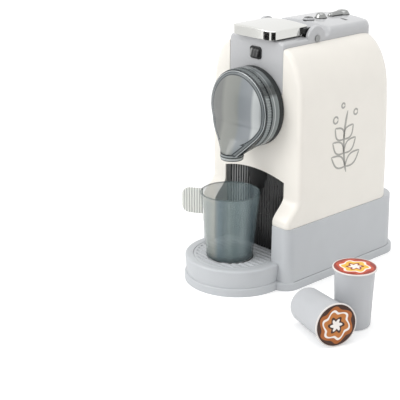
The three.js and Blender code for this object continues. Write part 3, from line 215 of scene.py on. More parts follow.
finish = {
    "cream": plastic("creamPlastic", tint(241, 237, 229), 0.34, coat=0.15, mottle=0.012),
    "grey": plastic("greyPlastic", tint(194, 197, 200), 0.38, coat=0.15, mottle=0.02),
    "spineGrey": plastic("spinePlastic", tint(187, 188, 190), 0.36, coat=0.7, mottle=0.02),
    "black": plastic("blackPlastic", tint(26, 27, 28), 0.36),
    "bulge": plastic("bulgePlastic", tint(3, 3, 4), 0.62),
    "button": plastic("buttonPlastic", tint(46, 46, 45), 0.3),
    "chrome": plastic("chromePlating", tint(232, 232, 228), 0.07, metallic=1.0, mottle=0.01),
    "plated": plastic("darkPlating", tint(158, 159, 158), 0.2, metallic=1.0, mottle=0.02),
    "drum": plastic("smokyDrum", tint(136, 144, 145), 0.22, alpha=0.8, streak=0.1, coat=0.3),
    "seal": plastic("sealRubber", tint(38, 42, 43), 0.55),
    "steel": plastic("zincSteel", tint(150, 152, 154), 0.32, metallic=1.0),
    "capsule": plastic("capsulePlastic", tint(192, 194, 197), 0.42, mottle=0.02),
    "board": plastic("boardLacquer", tint(40, 92, 60), 0.4, mottle=0.1),
    "cell": plastic("cellWrap", tint(60, 106, 58), 0.35, mottle=0.06),
    "print": plastic("printGrey", tint(172, 171, 166), 0.5),
    # grey of the painted shade line at the walls' foot
    "shade": plastic("paintedShadeGrey", tint(142, 145, 148), 0.5),
    "rim": plastic("capsuleRim", tint(232, 226, 222), 0.45),
}

# Arrays to meshes


def gridFaces(rows, columns, closeRows, closeColumns):
    # quads between neighbouring rows and columns of a grid of points
    r = np.arange(rows if closeRows else rows - 1)
    c = np.arange(columns if closeColumns else columns - 1)
    r, c = np.meshgrid(r, c, indexing="ij")
    nextRow, nextColumn = (r + 1) % rows, (c + 1) % columns
    corners = [(r, c), (r, nextColumn), (nextRow, nextColumn), (nextRow, c)]
    return np.stack([a * columns + b for a, b in corners], -1).reshape(-1, 4)


def gridMesh(points, closeRows=False, closeColumns=True, caps=True):
    # a skin over a grid of points (rows, columns, 3), with a flat face over each open end
    rows, columns = points.shape[:2]
    faces = gridFaces(rows, columns, closeRows, closeColumns).tolist()
    if caps and closeColumns and not closeRows:
        faces.append(list(range(columns))[::-1])
        faces.append(list(range((rows - 1) * columns, rows * columns)))
    return points.reshape(-1, 3), faces


def meshOf(name, shapes, solid=True):
    # shapes are (points, faces); coincident points are merged and the faces turned outwards
    mesh = bpy.data.meshes.new(name)
    allPoints, allFaces, offset = [], [], 0
    for points, faces in shapes:
        allPoints.append(points)
        allFaces += [[i + offset for i in face] for face in faces]
        offset += len(points)
    mesh.from_pydata((np.concatenate(allPoints) * millimetre).tolist(), [], allFaces)
    work = bmesh.new()
    work.from_mesh(mesh)
    bmesh.ops.remove_doubles(work, verts=work.verts, dist=mergeReach)
    bmesh.ops.dissolve_degenerate(work, edges=work.edges, dist=slimReach)
    bmesh.ops.recalc_face_normals(work, faces=work.faces)
    if solid and work.calc_volume(signed=True) < 0:
        bmesh.ops.reverse_faces(work, faces=work.faces)
    work.to_mesh(mesh)
    work.free()
    return mesh


def scratchObject(name, *shapes):
    # an object from shapes, which is finished later or used up by a boolean
    thing = bpy.data.objects.new(name, meshOf(name, shapes))
    bpy.context.scene.collection.objects.link(thing)
    return thing


def cut(shape):
    # a step that takes a shape away
    return "DIFFERENCE", scratchObject("cutter", shape)


def join(shape):
    # a step that adds a shape
    return "UNION", scratchObject("block", shape)


def combined(base, *steps):
    # booleans of closed scratch objects, baked into the base's mesh
    for operation, tool in steps:
        change = base.modifiers.new("cut", "BOOLEAN")
        change.operation, change.object = operation, tool
        change.solver = "MANIFOLD"
    bpy.context.view_layer.update()
    ready = base.evaluated_get(bpy.context.evaluated_depsgraph_get())
    mesh = bpy.data.meshes.new_from_object(ready)
    base.modifiers.clear()
    base.data = mesh
    for tool in {tool for _, tool in steps}:
        bpy.data.objects.remove(tool)
    return base


def finished(thing, look, body, nodes=(), angle=sharpAngle):
    # shading, material, slot and body of a finished piece
    mesh = thing.data
    mesh.polygons.foreach_set("use_smooth", np.ones(len(mesh.polygons), bool))
    mesh.set_sharp_from_angle(angle=math.radians(angle))
    mesh.materials.clear()
    mesh.materials.append(finish[look] if isinstance(look, str) else look)
    if nodes:
        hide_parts(*nodes)
    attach(thing, body)
    return thing


def makePiece(name, shapes, look, body, nodes=(), angle=sharpAngle):
    # shapes straight to a finished piece
    return finished(scratchObject(name, *shapes), look, body, nodes, angle)


# Outlines and surfaces


def filleted(corners, steps=filletSteps):
    # a polyline whose corners (x, y, radius) become arcs tangent to both of their sides
    places = np.array([c[:2] for c in corners], float)
    out = [places[:1]]
    for before, here, after, corner in zip(places[:-2], places[1:-1], places[2:], corners[1:-1]):
        radius = corner[2] if len(corner) > 2 else 0
        toBefore, toAfter = before - here, after - here
        toBefore, toAfter = toBefore / np.linalg.norm(toBefore), toAfter / np.linalg.norm(toAfter)
        half = math.acos(np.clip(toBefore @ toAfter, -1, 1)) / 2
        if radius <= 0 or half > quarter - leastTurn:
            out.append(here[None])
            continue
        reach = radius / math.tan(half)
        bisector = (toBefore + toAfter) / np.linalg.norm(toBefore + toAfter)
        centre = here + bisector * radius / math.sin(half)
        start, end = here + toBefore * reach - centre, here + toAfter * reach - centre
        turn = math.atan2(start[0] * end[1] - start[1] * end[0], start @ end)
        angles = np.linspace(0, turn, steps + 1)
        cos, sin = np.cos(angles), np.sin(angles)
        arc = np.stack([start[0] * cos - start[1] * sin, start[0] * sin + start[1] * cos], -1)
        out.append(centre + arc)
    out.append(places[-1:])
    return np.concatenate(out)


def revolved(profile, centre=(0, 0), axis="z", steps=fineRound, teeth=0, toothHeight=0.0):
    # profile (radius, height) turned round Z or Y; teeth ripple the radius with a cosine
    angle = np.arange(steps) * 2 * math.pi / steps
    radius, height = profile[:, 0][:, None], profile[:, 1][:, None]
    ripple = toothHeight * np.cos(teeth * angle)[None] * (profile[:, 0] > radius.max() - hair)[:, None]
    radius = np.maximum(radius, 0) + (ripple if teeth else 0)
    a = radius * np.cos(angle) + centre[0]
    b = radius * np.sin(angle) + centre[1]
    height = height + 0 * a
    points = np.stack([a, b, height], -1) if axis == "z" else np.stack([a, height, b], -1)
    ring = profile[0, 0] > 0
    return gridMesh(points, closeRows=ring, caps=False)


def turned(corners, centre=(0, 0), axis="z", steps=fineRound, lift=0.0, teeth=0, toothHeight=0.0):
    # the filleted corners (radius, height, fillet) as a solid of revolution, lifted along its axis
    return revolved(filleted(corners) + [0, lift], centre, axis, steps, teeth, toothHeight)


def plug(radius, low, high):
    # the outline of a plain disc between two heights
    return [(0, low), (radius, low), (radius, high), (0, high)]


def band(inside, outside, low, high, edge=0.0):
    # the outline of a flat ring whose outer edges are round
    return [(inside, low), (outside, low, edge), (outside, high, edge), (inside, high)]


def roundRing(half, front, back, frontRound, backRound):
    # rounded rectangles, one for each entry of the arrays: four quarter arcs joined by straights
    half, front, back, frontRound, backRound = np.broadcast_arrays(
        *[np.atleast_1d(np.asarray(v, float)) for v in (half, front, back, frontRound, backRound)]
    )
    turn = np.linspace(0, quarter, cornerSteps + 1)
    arcs = []
    for side, end, radius, start in [
        (1, front, frontRound, -quarter),
        (1, back, backRound, 0),
        (-1, back, backRound, quarter),
        (-1, front, frontRound, math.pi),
    ]:
        middleY = end + radius if end is front else end - radius
        x = (side * (half - radius))[:, None] + radius[:, None] * np.cos(start + turn)
        y = middleY[:, None] + radius[:, None] * np.sin(start + turn)
        arcs.append(np.stack([x, y], -1))
    return np.concatenate(arcs, 1)


def stacked(rings, heights):
    # plan outlines (levels, points, 2) put at their heights
    height = np.broadcast_to(np.asarray(heights, float)[:, None, None], rings.shape[:2] + (1,))
    return gridMesh(np.concatenate([rings, height], -1))


def softBox(half, front, back, low, high, cornerRound, edge, lowEdge=None):
    # a rounded rectangle in plan whose top and bottom edges are quarter rounds
    lowEdge = edge if lowEdge is None else lowEdge
    turn = np.linspace(0, quarter, filletSteps + 1)
    inset = np.concatenate([lowEdge * (1 - np.sin(turn)), edge * (1 - np.cos(turn))])
    heights = np.concatenate([low + lowEdge * (1 - np.cos(turn)), high - edge * (1 - np.sin(turn))])
    corner = np.maximum(cornerRound - inset, leastRound)
    return stacked(roundRing(half - inset, front + inset, back - inset, corner, corner), heights)


def box(x, y, z):
    # a plain cutter between pairs of limits
    plan = ((x[0], y[0]), (x[1], y[0]), (x[1], y[1]), (x[0], y[1]))
    return gridMesh(np.array([[[a, b, c] for a, b in plan] for c in z], float))


def smoothStep(value, low, high):
    # 0 below low and 1 above high, with a soft cubic between them
    share = np.clip((value - low) / (high - low), 0, 1)
    return share * share * (3 - 2 * share)


# Cream body

body = {
    "foot": 54.6, "front": -35.0, "back": 85.7, "half": 52.6, "shoulderIn": 1.1,
    "shoulder": 156.3, "crownWidth": 24.5, "crownHeight": 44.5,
    "lean": 14.6, "leanHeight": 139.0, "leanPower": 2.4,
    "frontRound": 5.0, "backRound": 15.7, "wall": 2.2,
    "flare": 12.7, "flareLow": 58.0, "flareHigh": 77.0, "footEdge": 1.2,
    "slotHalf": 30.7, "slotBack": 78.3, "slotRound": 11.8, "slotLow": 185.7,
    "stripLow": 162.7, "stripHigh": 210.0, "stripDepth": 2.5, "bossHole": 12.4, "bossHeight": 148.5,
    "slotCorner": 0.5, "frontRoundLeast": 0.6,
    "flareLevels": 20, "crownLevels": 22, "plainLevels": (82.0, 150.0, 12),
}
bay = {"half": 34.8, "foot": 88.9, "rise": 5.1, "back": -28.1, "insertFace": -30.0, "floor": 22.7,
       "seam": 0.3, "shellLow": 30.0, "columns": 41}
bay["top"] = bay["foot"] + bay["rise"]
bay["radius"] = (bay["half"] ** 2 + bay["rise"] ** 2) / (2 * bay["rise"])


def bodyHalf(z):
    # a slightly leaning side, then a quarter ellipse to the crown
    b = body
    side = b["half"] - b["shoulderIn"] * np.clip((z - b["foot"]) / (b["shoulder"] - b["foot"]), 0, 1)
    share = np.clip((z - b["shoulder"]) / b["crownHeight"], 0, 1)
    return side - b["crownWidth"] * (1 - np.sqrt(1 - share**2))


def bodyFront(z):
    # the front face, pushed forward at the foot by a soft cubic
    return body["front"] - body["flare"] * (1 - smoothStep(z, body["flareLow"], body["flareHigh"]))


def bodyBack(z):
    # upright at the foot, then a superellipse that leans forward to the top
    top = body["shoulder"] + body["crownHeight"]
    share = np.clip((z - top + body["leanHeight"]) / body["leanHeight"], 0, 1)
    fall = (1 - share ** body["leanPower"]) ** (1 / body["leanPower"])
    return body["back"] - body["lean"] * (1 - fall)


def bodyLevels(low, high):
    # heights between two limits, closer together in the flare and the crown
    crown = body["shoulder"] + body["crownHeight"] * np.sin(np.linspace(0, quarter, body["crownLevels"]))
    flare = np.linspace(body["flareLow"], body["flareHigh"], body["flareLevels"])
    levels = np.concatenate([[low, high], flare, np.linspace(*body["plainLevels"]), crown])
    return np.unique(np.round(levels[(levels >= low) & (levels <= high)], 4))


def bodyOutlines(levels, inset, lift=0):
    # the body's plan at each level, moved in by inset; lift takes half width and back from higher up
    inset = np.broadcast_to(inset, levels.shape)
    return roundRing(
        bodyHalf(levels + lift) - inset,
        bodyFront(levels) + inset,
        bodyBack(levels + lift) - inset,
        np.maximum(body["frontRound"] - inset, body["frontRoundLeast"]),
        body["backRound"] - inset,
    )


def archSpace(margin, low, back):
    # the bay: a box whose ceiling is a shallow arc
    half = bay["half"] + margin
    x = np.linspace(-half, half, bay["columns"])
    radius = bay["radius"] + margin
    ceiling = bay["top"] - bay["radius"] + np.sqrt(radius**2 - x**2)
    outline = np.concatenate([np.stack([x, ceiling], -1), [[half, low], [-half, low]]])
    points = np.stack([np.insert(outline, 1, y, axis=1) for y in (farFront, back)])
    return gridMesh(points)


def bodyShell():
    # levels with a round foot edge, hollowed by the same surface one wall further in, then cut
    # for the bay, the spine, its front strip and the tank's boss
    top = body["shoulder"] + body["crownHeight"]
    edge, wall = body["footEdge"], body["wall"]
    turn = np.linspace(0, quarter, filletSteps + 1)[:-1]
    footLevels = body["foot"] + edge * (1 - np.cos(turn))
    levels = bodyLevels(body["foot"] + edge, top)
    insets = np.concatenate([edge * (1 - np.sin(turn)), np.zeros(len(levels))])
    levels = np.concatenate([footLevels, levels])
    outer = scratchObject("bodyShell", stacked(bodyOutlines(levels, insets), levels))
    insideLevels = bodyLevels(body["foot"] - overrun, top - wall)
    lift = np.where(insideLevels > body["shoulder"], wall, 0)
    inner = scratchObject("inner", stacked(bodyOutlines(insideLevels, wall, lift), insideLevels))
    keepWall = archSpace(wall, body["foot"] - 2 * overrun, bay["insertFace"] - bay["seam"])
    half, frontCut = body["slotHalf"], (farFront, body["front"] + body["stripDepth"])
    plan = roundRing(half, farFront, body["slotBack"], body["slotCorner"], body["slotRound"])
    return combined(
        outer,
        ("DIFFERENCE", combined(inner, cut(keepWall))),
        cut(archSpace(0, bay["shellLow"], bay["back"])),
        cut(stacked(np.repeat(plan, 2, 0), [body["slotLow"], farAbove])),
        cut(box((-half, half), frontCut, (body["stripLow"], body["stripHigh"]))),
        cut(turned(plug(body["bossHole"], *frontCut), (0, body["bossHeight"]), "y", smallSteps)),
    )


rear = {"half": 34.3, "low": 63.7, "high": 120.3, "face": 83.9, "ledge": 81.6, "pad": 78.2, "padHalf": 36.2,
        "padRise": 1.9, "window": 26.0, "windowIn": 8.3, "through": (70.0, 120.0)}


def rearBlock(half, depth, grow):
    # a block between two places in y, taller than the panel's recess by grow at both ends
    return box((-half, half), depth, (rear["low"] - grow, rear["high"] + grow))


def withRearOpening(shell):
    # thicker wall, a shallow recess for the panel and a window behind it
    r = rear
    return combined(
        shell,
        join(rearBlock(r["padHalf"], (r["pad"], r["face"]), r["padRise"])),
        cut(rearBlock(r["half"], (r["ledge"], r["through"][1]), 0)),
        cut(rearBlock(r["window"], r["through"], -r["windowIn"])),
    )


finished(withRearOpening(bodyShell()), "cream", "machine", ["body_shell"], 32)
print("body shell made")

# Grey base with the tray

base = {
    "half": 55.0, "front": -51.0, "back": 99.0, "frontRound": 14.0, "backRound": 18.0,
    "noseY": -55.1, "noseRadius": 43.9, "plinth": 7.0, "plinthEdge": 1.5, "sunk": 3.0,
    "top": 54.85, "sideIn": 1.3, "frontIn": 3.0, "backIn": 2.0, "draft": 0.4, "topEdge": 0.8,
    "wallFrontRound": 8.5, "wallBackRound": 20.0, "wall": 2.2,
    "trayFoot": 42.0, "trayRim": 43.7, "trayTop": 22.7, "trayEdge": 2.0,
    "gridRadius": 35.5, "gridY": -56.7, "gridFloor": 20.0, "gridBack": -30.8, "cutHigh": 40.0,
    "bayHigh": 70.0,
}


def wallRings(inset, lean=None):
    # the walls' outline in plan, moved in by inset; lean moves the sides and the back instead
    b = base
    lean = inset if lean is None else lean
    return roundRing(b["half"] - b["sideIn"] - lean, b["front"] + b["frontIn"] + inset,
                     b["back"] - b["backIn"] - lean, b["wallFrontRound"] - inset, b["wallBackRound"] - inset)


def onNose(corners, steps=2 * fineRound):
    # an outline turned round the middle of the nose
    return turned(corners, (0, base["noseY"]), steps=steps)


def baseShell():
    # plinth, nose, walls and tray joined, hollowed from below, then cut for the bay and the grid
    b = base
    plinth, edge, sunk, top = b["plinth"], b["plinthEdge"], b["sunk"], b["top"]
    turn = np.linspace(0, quarter, filletSteps + 1)
    inset = np.concatenate([[0], edge * (1 - np.cos(turn))])
    levels = np.concatenate([[0], plinth - edge * (1 - np.sin(turn))])
    slabRings = roundRing(b["half"] - inset, b["front"] + inset, b["back"] - inset,
                          b["frontRound"] - inset, b["backRound"] - inset)
    slab = scratchObject("baseShell", stacked(slabRings, levels))
    nose = onNose([(0, 0), (b["noseRadius"], 0), (b["noseRadius"], plinth, edge), (0, plinth)])
    levels = np.concatenate([[sunk, top - b["topEdge"]], top - b["topEdge"] * (1 - np.sin(turn[1:]))])
    inset = np.concatenate([[0, 0], b["topEdge"] * (1 - np.cos(turn[1:]))])
    lean = b["draft"] * (levels - plinth) / (top - plinth) + inset
    walls = stacked(wallRings(inset, lean), levels)
    tray = onNose([(0, sunk), (b["trayFoot"], sunk), (b["trayRim"], b["trayTop"], b["trayEdge"]),
                   (0, b["trayTop"])])
    shell = combined(slab, join(nose), join(walls), join(tray))
    wall, half, floor = b["wall"], bay["half"], b["gridFloor"]
    hollow = scratchObject("hollow", stacked(np.repeat(wallRings(wall), 2, 0), [-overrun, top - wall]))
    underNose = onNose(plug(b["trayFoot"] - wall, -overrun, floor - wall), fineRound)
    room = box((-half - wall, half + wall), (farFront, bay["back"] + wall), (floor - wall, b["bayHigh"]))
    hollow = combined(hollow, join(underNose), cut(room))
    disc = scratchObject("gridCut", turned(plug(b["gridRadius"], floor, b["cutHigh"]), (0, b["gridY"])))
    gridCut = combined(disc, cut(box((-farSide, farSide), (b["gridBack"], 0), (0, b["cutHigh"] + overrun))))
    bayCut = box((-half, half), (farFront, bay["back"]), (bay["floor"], b["bayHigh"]))
    return combined(shell, ("DIFFERENCE", hollow), cut(bayCut), ("DIFFERENCE", gridCut))


# where the painted shade line round the walls' foot lies
line = {"low": 6.4, "high": 7.45, "proud": 0.06, "deep": 0.5, "frontCut": ((-80.0, -40.0), (-5.0, 20.0))}


def paintedFootShade():
    # a thin darker band round the walls' foot, where they stand on the plinth: a painted shade line
    outer, inner = (
        stacked(np.repeat(wallRings(inset), 2, 0), (line["low"] - past, line["high"] + past))
        for inset, past in ((-line["proud"], 0), (line["deep"], 1))
    )
    front = box((-farSide, farSide), *line["frontCut"])
    return combined(scratchObject("paintedFootShade", outer), cut(inner), cut(front))


finished(baseShell(), "grey", "machine", ["base_housing"], 32)
finished(paintedFootShade(), "shade", "machine")

grid = {"radius": 35.2, "y": -56.7, "back": -31.1, "low": 20.3, "top": 22.7, "edge": 0.5,
        "pitch": 5.0, "width": 2.2, "depth": 1.35, "softIn": 0.35, "softOut": 0.25, "rim": 2.2,
        "rimSoft": 0.6, "seatRadius": 21.3, "seatY": -61.1, "seatSoft": 0.5, "rows": 300, "columns": 120,
        "firstIn": 0.02, "leastSquare": 0.01}
# a dark ring under the cup's foot: painted shadow where the cup stands
cupShadowRing = {"inside": 18.0, "outside": 19.1, "low": 21.37, "high": 21.45}


def grooveDepth(x, y):
    # a soft trench every pitch, ended inside the rim, and a flat round seat for the cup
    g = grid
    offset = (y - g["y"] + g["pitch"] / 2) % g["pitch"] - g["pitch"] / 2
    trench = 1 - smoothStep(np.abs(offset), g["width"] / 2 - g["softIn"], g["width"] / 2 + g["softOut"])
    reach = np.hypot(x, y - g["y"])
    trench = trench * (1 - smoothStep(reach, g["radius"] - g["rim"] - g["rimSoft"], g["radius"] - g["rim"]))
    seat = 1 - smoothStep(np.hypot(x, y - g["seatY"]), g["seatRadius"] - g["seatSoft"], g["seatRadius"])
    return g["depth"] * np.maximum(trench, seat)


def dripGrid():
    # rows across the plate, each as wide as the disc is there; the last rows round the edge over
    g = grid
    rows = np.linspace(g["y"] - g["radius"] + g["firstIn"], g["back"], g["rows"])
    half = np.sqrt(np.maximum(g["radius"] ** 2 - (rows - g["y"]) ** 2, g["leastSquare"]))
    share = np.sin(np.linspace(-quarter, quarter, g["columns"]))
    x = half[:, None] * share[None]
    y = np.broadcast_to(rows[:, None], x.shape)
    top = g["top"] - grooveDepth(x, y)
    rim = np.clip((g["edge"] - (g["radius"] - np.hypot(x, y - g["y"]))) / g["edge"], 0, 1)
    top = top - g["edge"] * (1 - np.sqrt(1 - rim**2))
    upper = np.stack([x, y, top], -1)
    lower = np.stack([x, y, np.full_like(x, g["low"])], -1)
    return gridMesh(np.concatenate([upper, lower[:, ::-1]], 1))


makePiece("dripGrid", [dripGrid()], "grey", "drip_tray", ["drip_grid"], 50)
# painted shadow: a dark ring on the tray, under the cup's foot
ring = turned(band(**cupShadowRing), (0, grid["seatY"]))
makePiece("paintedCupShadow", [ring], "button", "drip_tray")
print("base and grid made")

# Black insert of the bay

insert = {"half": 34.5, "front": -34.7, "face": -30.0, "thick": 1.6, "low": 23.0, "round": 2.5,
          "bulgeRows": 24, "bulgeColumns": 33,
          "columns": 421, "ribsFrom": 0.7, "ribsFull": 0.98, "cloudScale": 200.0, "coat": 0.3,
          "roughness": (0.24, 0.34), "spread": 1.06, "topGap": 0.3,
          "ribPitch": 3.0, "ribDepth": 1.1, "ribPower": 0.6,
          "bulgeTop": 13.5, "bulgeFoot": 4.5, "bulgeDrop": 24.0, "bulgeDepth": 4.0, "bulgeGap": 0.4,
          "bulgePower": 1.15, "bulgeFlatter": 0.55, "shareAcross": 35.0,
          # painted light on the ribs: crests and troughs are paler at the left, where the light falls
          "crests": [(0.0, 60), (0.05, 168), (0.28, 150), (0.4, 66), (0.6, 26), (0.75, 44), (1.0, 34)],
          "troughs": [(0.0, 12), (0.05, 44), (0.3, 36), (0.45, 8), (1.0, 8)],
          "wave": [(0.22, 0.0), (0.42, 1.0), (0.58, 1.0), (0.78, 0.0)]}


def underArch(x, gap):
    # the ceiling's height at x, less a gap
    return bay["top"] - bay["radius"] + np.sqrt((bay["radius"] - gap) ** 2 - x**2)


def insertSheet():
    # a wall that follows a U in plan; ribs ripple it, and its top follows the arch
    i = insert
    end = i["half"] - i["thick"]
    path = filleted([(-end, i["front"]), (-end, i["face"], i["round"]), (end, i["face"], i["round"]),
                     (end, i["front"])])
    lengths = np.concatenate([[0], np.cumsum(np.linalg.norm(np.diff(path, axis=0), axis=1))])
    along = np.linspace(0, lengths[-1], i["columns"])
    x, y = np.interp(along, lengths, path[:, 0]), np.interp(along, lengths, path[:, 1])
    normal = np.stack([-np.gradient(y, along), np.gradient(x, along)], -1)
    normal /= np.linalg.norm(normal, axis=1)[:, None]
    phase = (along - lengths[-1] / 2) / i["ribPitch"]
    rib = i["ribDepth"] * (0.5 + 0.5 * np.cos(2 * math.pi * phase)) ** i["ribPower"]
    onBack = smoothStep(normal[:, 1], i["ribsFrom"], i["ribsFull"])
    inner = np.stack([x, y], -1) - normal * (rib * onBack)[:, None]
    outerX = np.clip(x * i["spread"], -i["half"], i["half"])
    outer = np.stack([outerX, np.minimum(y + i["thick"], i["face"] + i["thick"])], -1)
    top = underArch(x, i["topGap"])
    low = np.full_like(top, i["low"])
    corners = [(inner, low), (inner, top), (outer, top), (outer, low)]
    ring = np.stack([np.concatenate([plan, height[:, None]], -1) for plan, height in corners], 1)
    return gridMesh(ring)


def outletBulge():
    # half cone whose section is an ellipse; it narrows downwards and ends in a small round
    i = insert
    share = np.linspace(0, 1, i["bulgeRows"])[:, None]
    angle = np.linspace(math.pi, 2 * math.pi, i["bulgeColumns"])[None]
    radius = i["bulgeTop"] + (i["bulgeFoot"] - i["bulgeTop"]) * share ** i["bulgePower"]
    depth = i["bulgeDepth"] * (1 - i["bulgeFlatter"] * share**2)
    z = bay["top"] - i["bulgeGap"] - i["bulgeDrop"] * share + 0 * angle
    x = radius * np.cos(angle)
    y = i["face"] + i["thick"] / 2 + (depth + i["thick"] / 2) * np.sin(angle)
    return gridMesh(np.stack([x, y, np.minimum(z, underArch(x, i["bulgeGap"]))], -1))


def ribbedPlastic():
    # black with painted highlights on the rib crests, and paler most of all at the left where the light
    # falls: painted light
    i = insert
    material, n, place = newLook("ribbedPlastic")
    share = n.along(place, (1, 0, 0), -i["shareAcross"], i["shareAcross"])
    crests, troughs = (n.tints(share, [(at, (value, value + 1, value + 1)) for at, value in i[key]])
                       for key in ("crests", "troughs"))
    turn = n.along(place, (1, 0, 0), -i["ribPitch"] / 2, i["ribPitch"] / 2)
    wave = n.factors(n.mathNode("FRACT", turn), i["wave"])
    cloud = n.add("ShaderNodeTexNoise", Vector=place, Scale=i["cloudScale"])
    n.close(n.add("ShaderNodeBsdfPrincipled", Base_Color=n.mixed(wave, troughs, crests),
                  Coat_Weight=i["coat"], Roughness=n.between(cloud.outputs["Fac"], *i["roughness"])))
    return material


finish["ribbed"] = ribbedPlastic()
makePiece("bayInsert", [insertSheet()], "ribbed", "machine", ["recess_insert"], 50)
makePiece("outletBulge", [outletBulge()], "bulge", "machine")

# Grey spine over front and top

spine = {
    "half": 30.4, "front": -35.0, "foot": 186.0, "deck": 206.4, "drop": 1.4, "edgeWidth": 5.4,
    "edgeLow": 2.6, "edgeHigh": 6.5, "riseStart": 17.5, "rise": 6.0, "raised": 211.6, "fall": 0.5,
    "back": 78.0, "backRound": 5.5, "backDrop": 7.0, "cornerRound": 11.5, "wall": 2.2, "frontEdge": 1.6,
    "stripLow": 163.0, "stripThick": 2.2,
    "pivotY": 5.0, "pivotZ": 203.5, "earRadius": 10.3, "earInner": 26.6, "earEdge": 1.2,
    "pivotY": 5.0, "pivotZ": 203.5, "earRadius": 10.3, "earInner": 26.6, "earEdge": 1.2, "earInnerEdge": 0.4,
    "pitInner": 20.2, "pitReach": 8.4, "pitWall": 1.6, "pitWallEnd": 29.9, "pitWallTop": 203.0,
    "stripTop": 201.5, "stripRound": 0.6, "stripEdge": 0.3, "mouthY": -11.7, "mouth": 17.9, "holeLow": 150.0,
    "windowFront": -40.0, "windowBack": -30.0,
}
topControls = {"powerY": 27.4, "powerHole": 5.1, "brewY": 42.6, "brewHole": 5.4,
               "knobY": 70.5, "knobHole": 2.8, "frontZ": 193.0, "frontHalf": 5.7, "frontTall": 4.4,
               "frontRound": 2.2}


def spineTop(y):
    # deck, a short smooth rise, a gentle fall and an elliptical round to the back
    s = spine
    roundStart = s["back"] - s["backRound"]
    riseEnd = s["riseStart"] + s["rise"]
    raised = s["deck"] + (s["raised"] - s["deck"]) * smoothStep(y, s["riseStart"], riseEnd)
    along = np.clip((y - riseEnd) / (roundStart - riseEnd), 0, 1)
    share = np.clip((y - roundStart) / s["backRound"], 0, 1)
    return raised - s["fall"] * along - s["backDrop"] * (1 - np.sqrt(1 - share**2))


def spineSections(y, inset, foot):
    # sections across the machine: upright sides, elliptical shoulders and a slightly crowned top
    s = spine
    y, inset = y[:, None], np.broadcast_to(inset, y.shape)[:, None]
    rise = smoothStep(y, s["riseStart"], s["riseStart"] + s["rise"])
    edge = s["edgeLow"] + (s["edgeHigh"] - s["edgeLow"]) * rise
    corner = s["cornerRound"] - inset
    past = np.clip((y - s["back"] + s["cornerRound"]) / corner, 0, 1)
    half = s["half"] - inset - corner * (1 - np.sqrt(1 - past**2))
    top = spineTop(y) - inset
    turn = np.linspace(0, quarter, 9)[None]
    shoulderX = half - s["edgeWidth"] * (1 - np.cos(turn))
    shoulderZ = top - s["drop"] - edge * (1 - np.sin(turn))
    share = np.linspace(0, 1, 9)[1:][None]
    crownX = (half - s["edgeWidth"]) * (1 - share)
    crownZ = top - s["drop"] * (1 - share) ** 2
    x = np.concatenate([half, shoulderX, crownX], 1)
    z = np.concatenate([np.full_like(top, foot), shoulderZ, crownZ], 1)
    x = np.concatenate([x, -x[:, -2::-1]], 1)
    z = np.concatenate([z, z[:, -2::-1]], 1)
    return np.stack([x, np.broadcast_to(y, x.shape), z], -1)


def pit(side, grow, outer, high):
    # room beside an ear for the lever's knuckle; grown, it is the block that leaves walls round it
    s = spine
    reach = s["pitReach"] + grow
    across = sorted([side * (s["pitInner"] - grow), side * outer])
    return box(across, (s["pivotY"] - reach, s["pivotY"] + reach), (s["pivotZ"] - reach, high))


def alongHinge(corners):
    # an outline (radius, x, fillet) turned round the lever's hinge
    points, faces = turned(corners)
    return np.stack([points[:, 2], points[:, 0] + spine["pivotY"], points[:, 1] + spine["pivotZ"]], -1), faces


def topSpine():
    # sections from front to back, hollowed by the same sections one wall further in; a strip and
    # two ears are joined on, and pits, mouth, button holes and window cut out
    s, t = spine, topControls
    turn = np.linspace(0, quarter, filletSteps + 1)
    front, frontInset = s["front"] + s["frontEdge"] * (1 - np.cos(turn)), s["frontEdge"] * (1 - np.sin(turn))
    roundStart, riseEnd = s["back"] - s["cornerRound"], s["riseStart"] + s["rise"]
    middle = np.concatenate([np.linspace(s["front"] + s["frontEdge"] + 2, s["riseStart"], 10),
                             np.linspace(s["riseStart"], riseEnd, 9)[1:],
                             np.linspace(riseEnd, roundStart, 10)[1:]])
    backEnd = roundStart + s["cornerRound"] * np.sin(np.linspace(0, quarter, 18))[1:]
    y = np.concatenate([front, middle, backEnd])
    inset = np.concatenate([frontInset, np.zeros(len(middle) + len(backEnd))])
    shell = scratchObject("topSpine", gridMesh(spineSections(y, inset, s["foot"])))
    insideEnd = roundStart + (s["cornerRound"] - s["wall"]) * np.sin(np.linspace(0, quarter, 12))
    inside = np.concatenate([[s["front"] + s["wall"]], middle[middle < roundStart], insideEnd])
    hollow = scratchObject("hollow", gridMesh(spineSections(inside, s["wall"], s["foot"] - overrun)))
    walls = [cut(pit(side, s["pitWall"], s["pitWallEnd"], s["pitWallTop"])) for side in (-1, 1)]
    strip = softBox(s["half"], s["front"], s["front"] + s["stripThick"], s["stripLow"], s["stripTop"],
                    s["stripRound"], s["stripEdge"])
    steps = [("DIFFERENCE", combined(hollow, *walls)), join(strip)]
    for side in (-1, 1):
        inner, outer = side * s["earInner"], side * s["half"]
        steps.append(join(alongHinge([(0, inner), (s["earRadius"], inner, s["earInnerEdge"]),
                                      (s["earRadius"], outer, s["earEdge"]), (0, outer)])))
    shell = combined(shell, *steps)
    cuts = [cut(pit(side, 0, s["earInner"], farAbove)) for side in (-1, 1)]
    holes = [(t[name + "Y"], t[name + "Hole"]) for name in ("power", "brew", "knob")]
    for place, radius in [(s["mouthY"], s["mouth"])] + holes:
        cuts.append(cut(turned(plug(radius, s["holeLow"], farAbove), (0, place), steps=smallSteps)))
    ring = roundRing(t["frontHalf"], -t["frontTall"], t["frontTall"], t["frontRound"], t["frontRound"])[0]
    window = [np.stack([ring[:, 0], np.full(len(ring), place), ring[:, 1] + t["frontZ"]], -1)
              for place in (s["windowFront"], s["windowBack"])]
    return combined(shell, *cuts, cut(gridMesh(np.stack(window))))


finished(topSpine(), "spineGrey", "machine", ["top_spine"], 32)
print("spine made")

# Lever

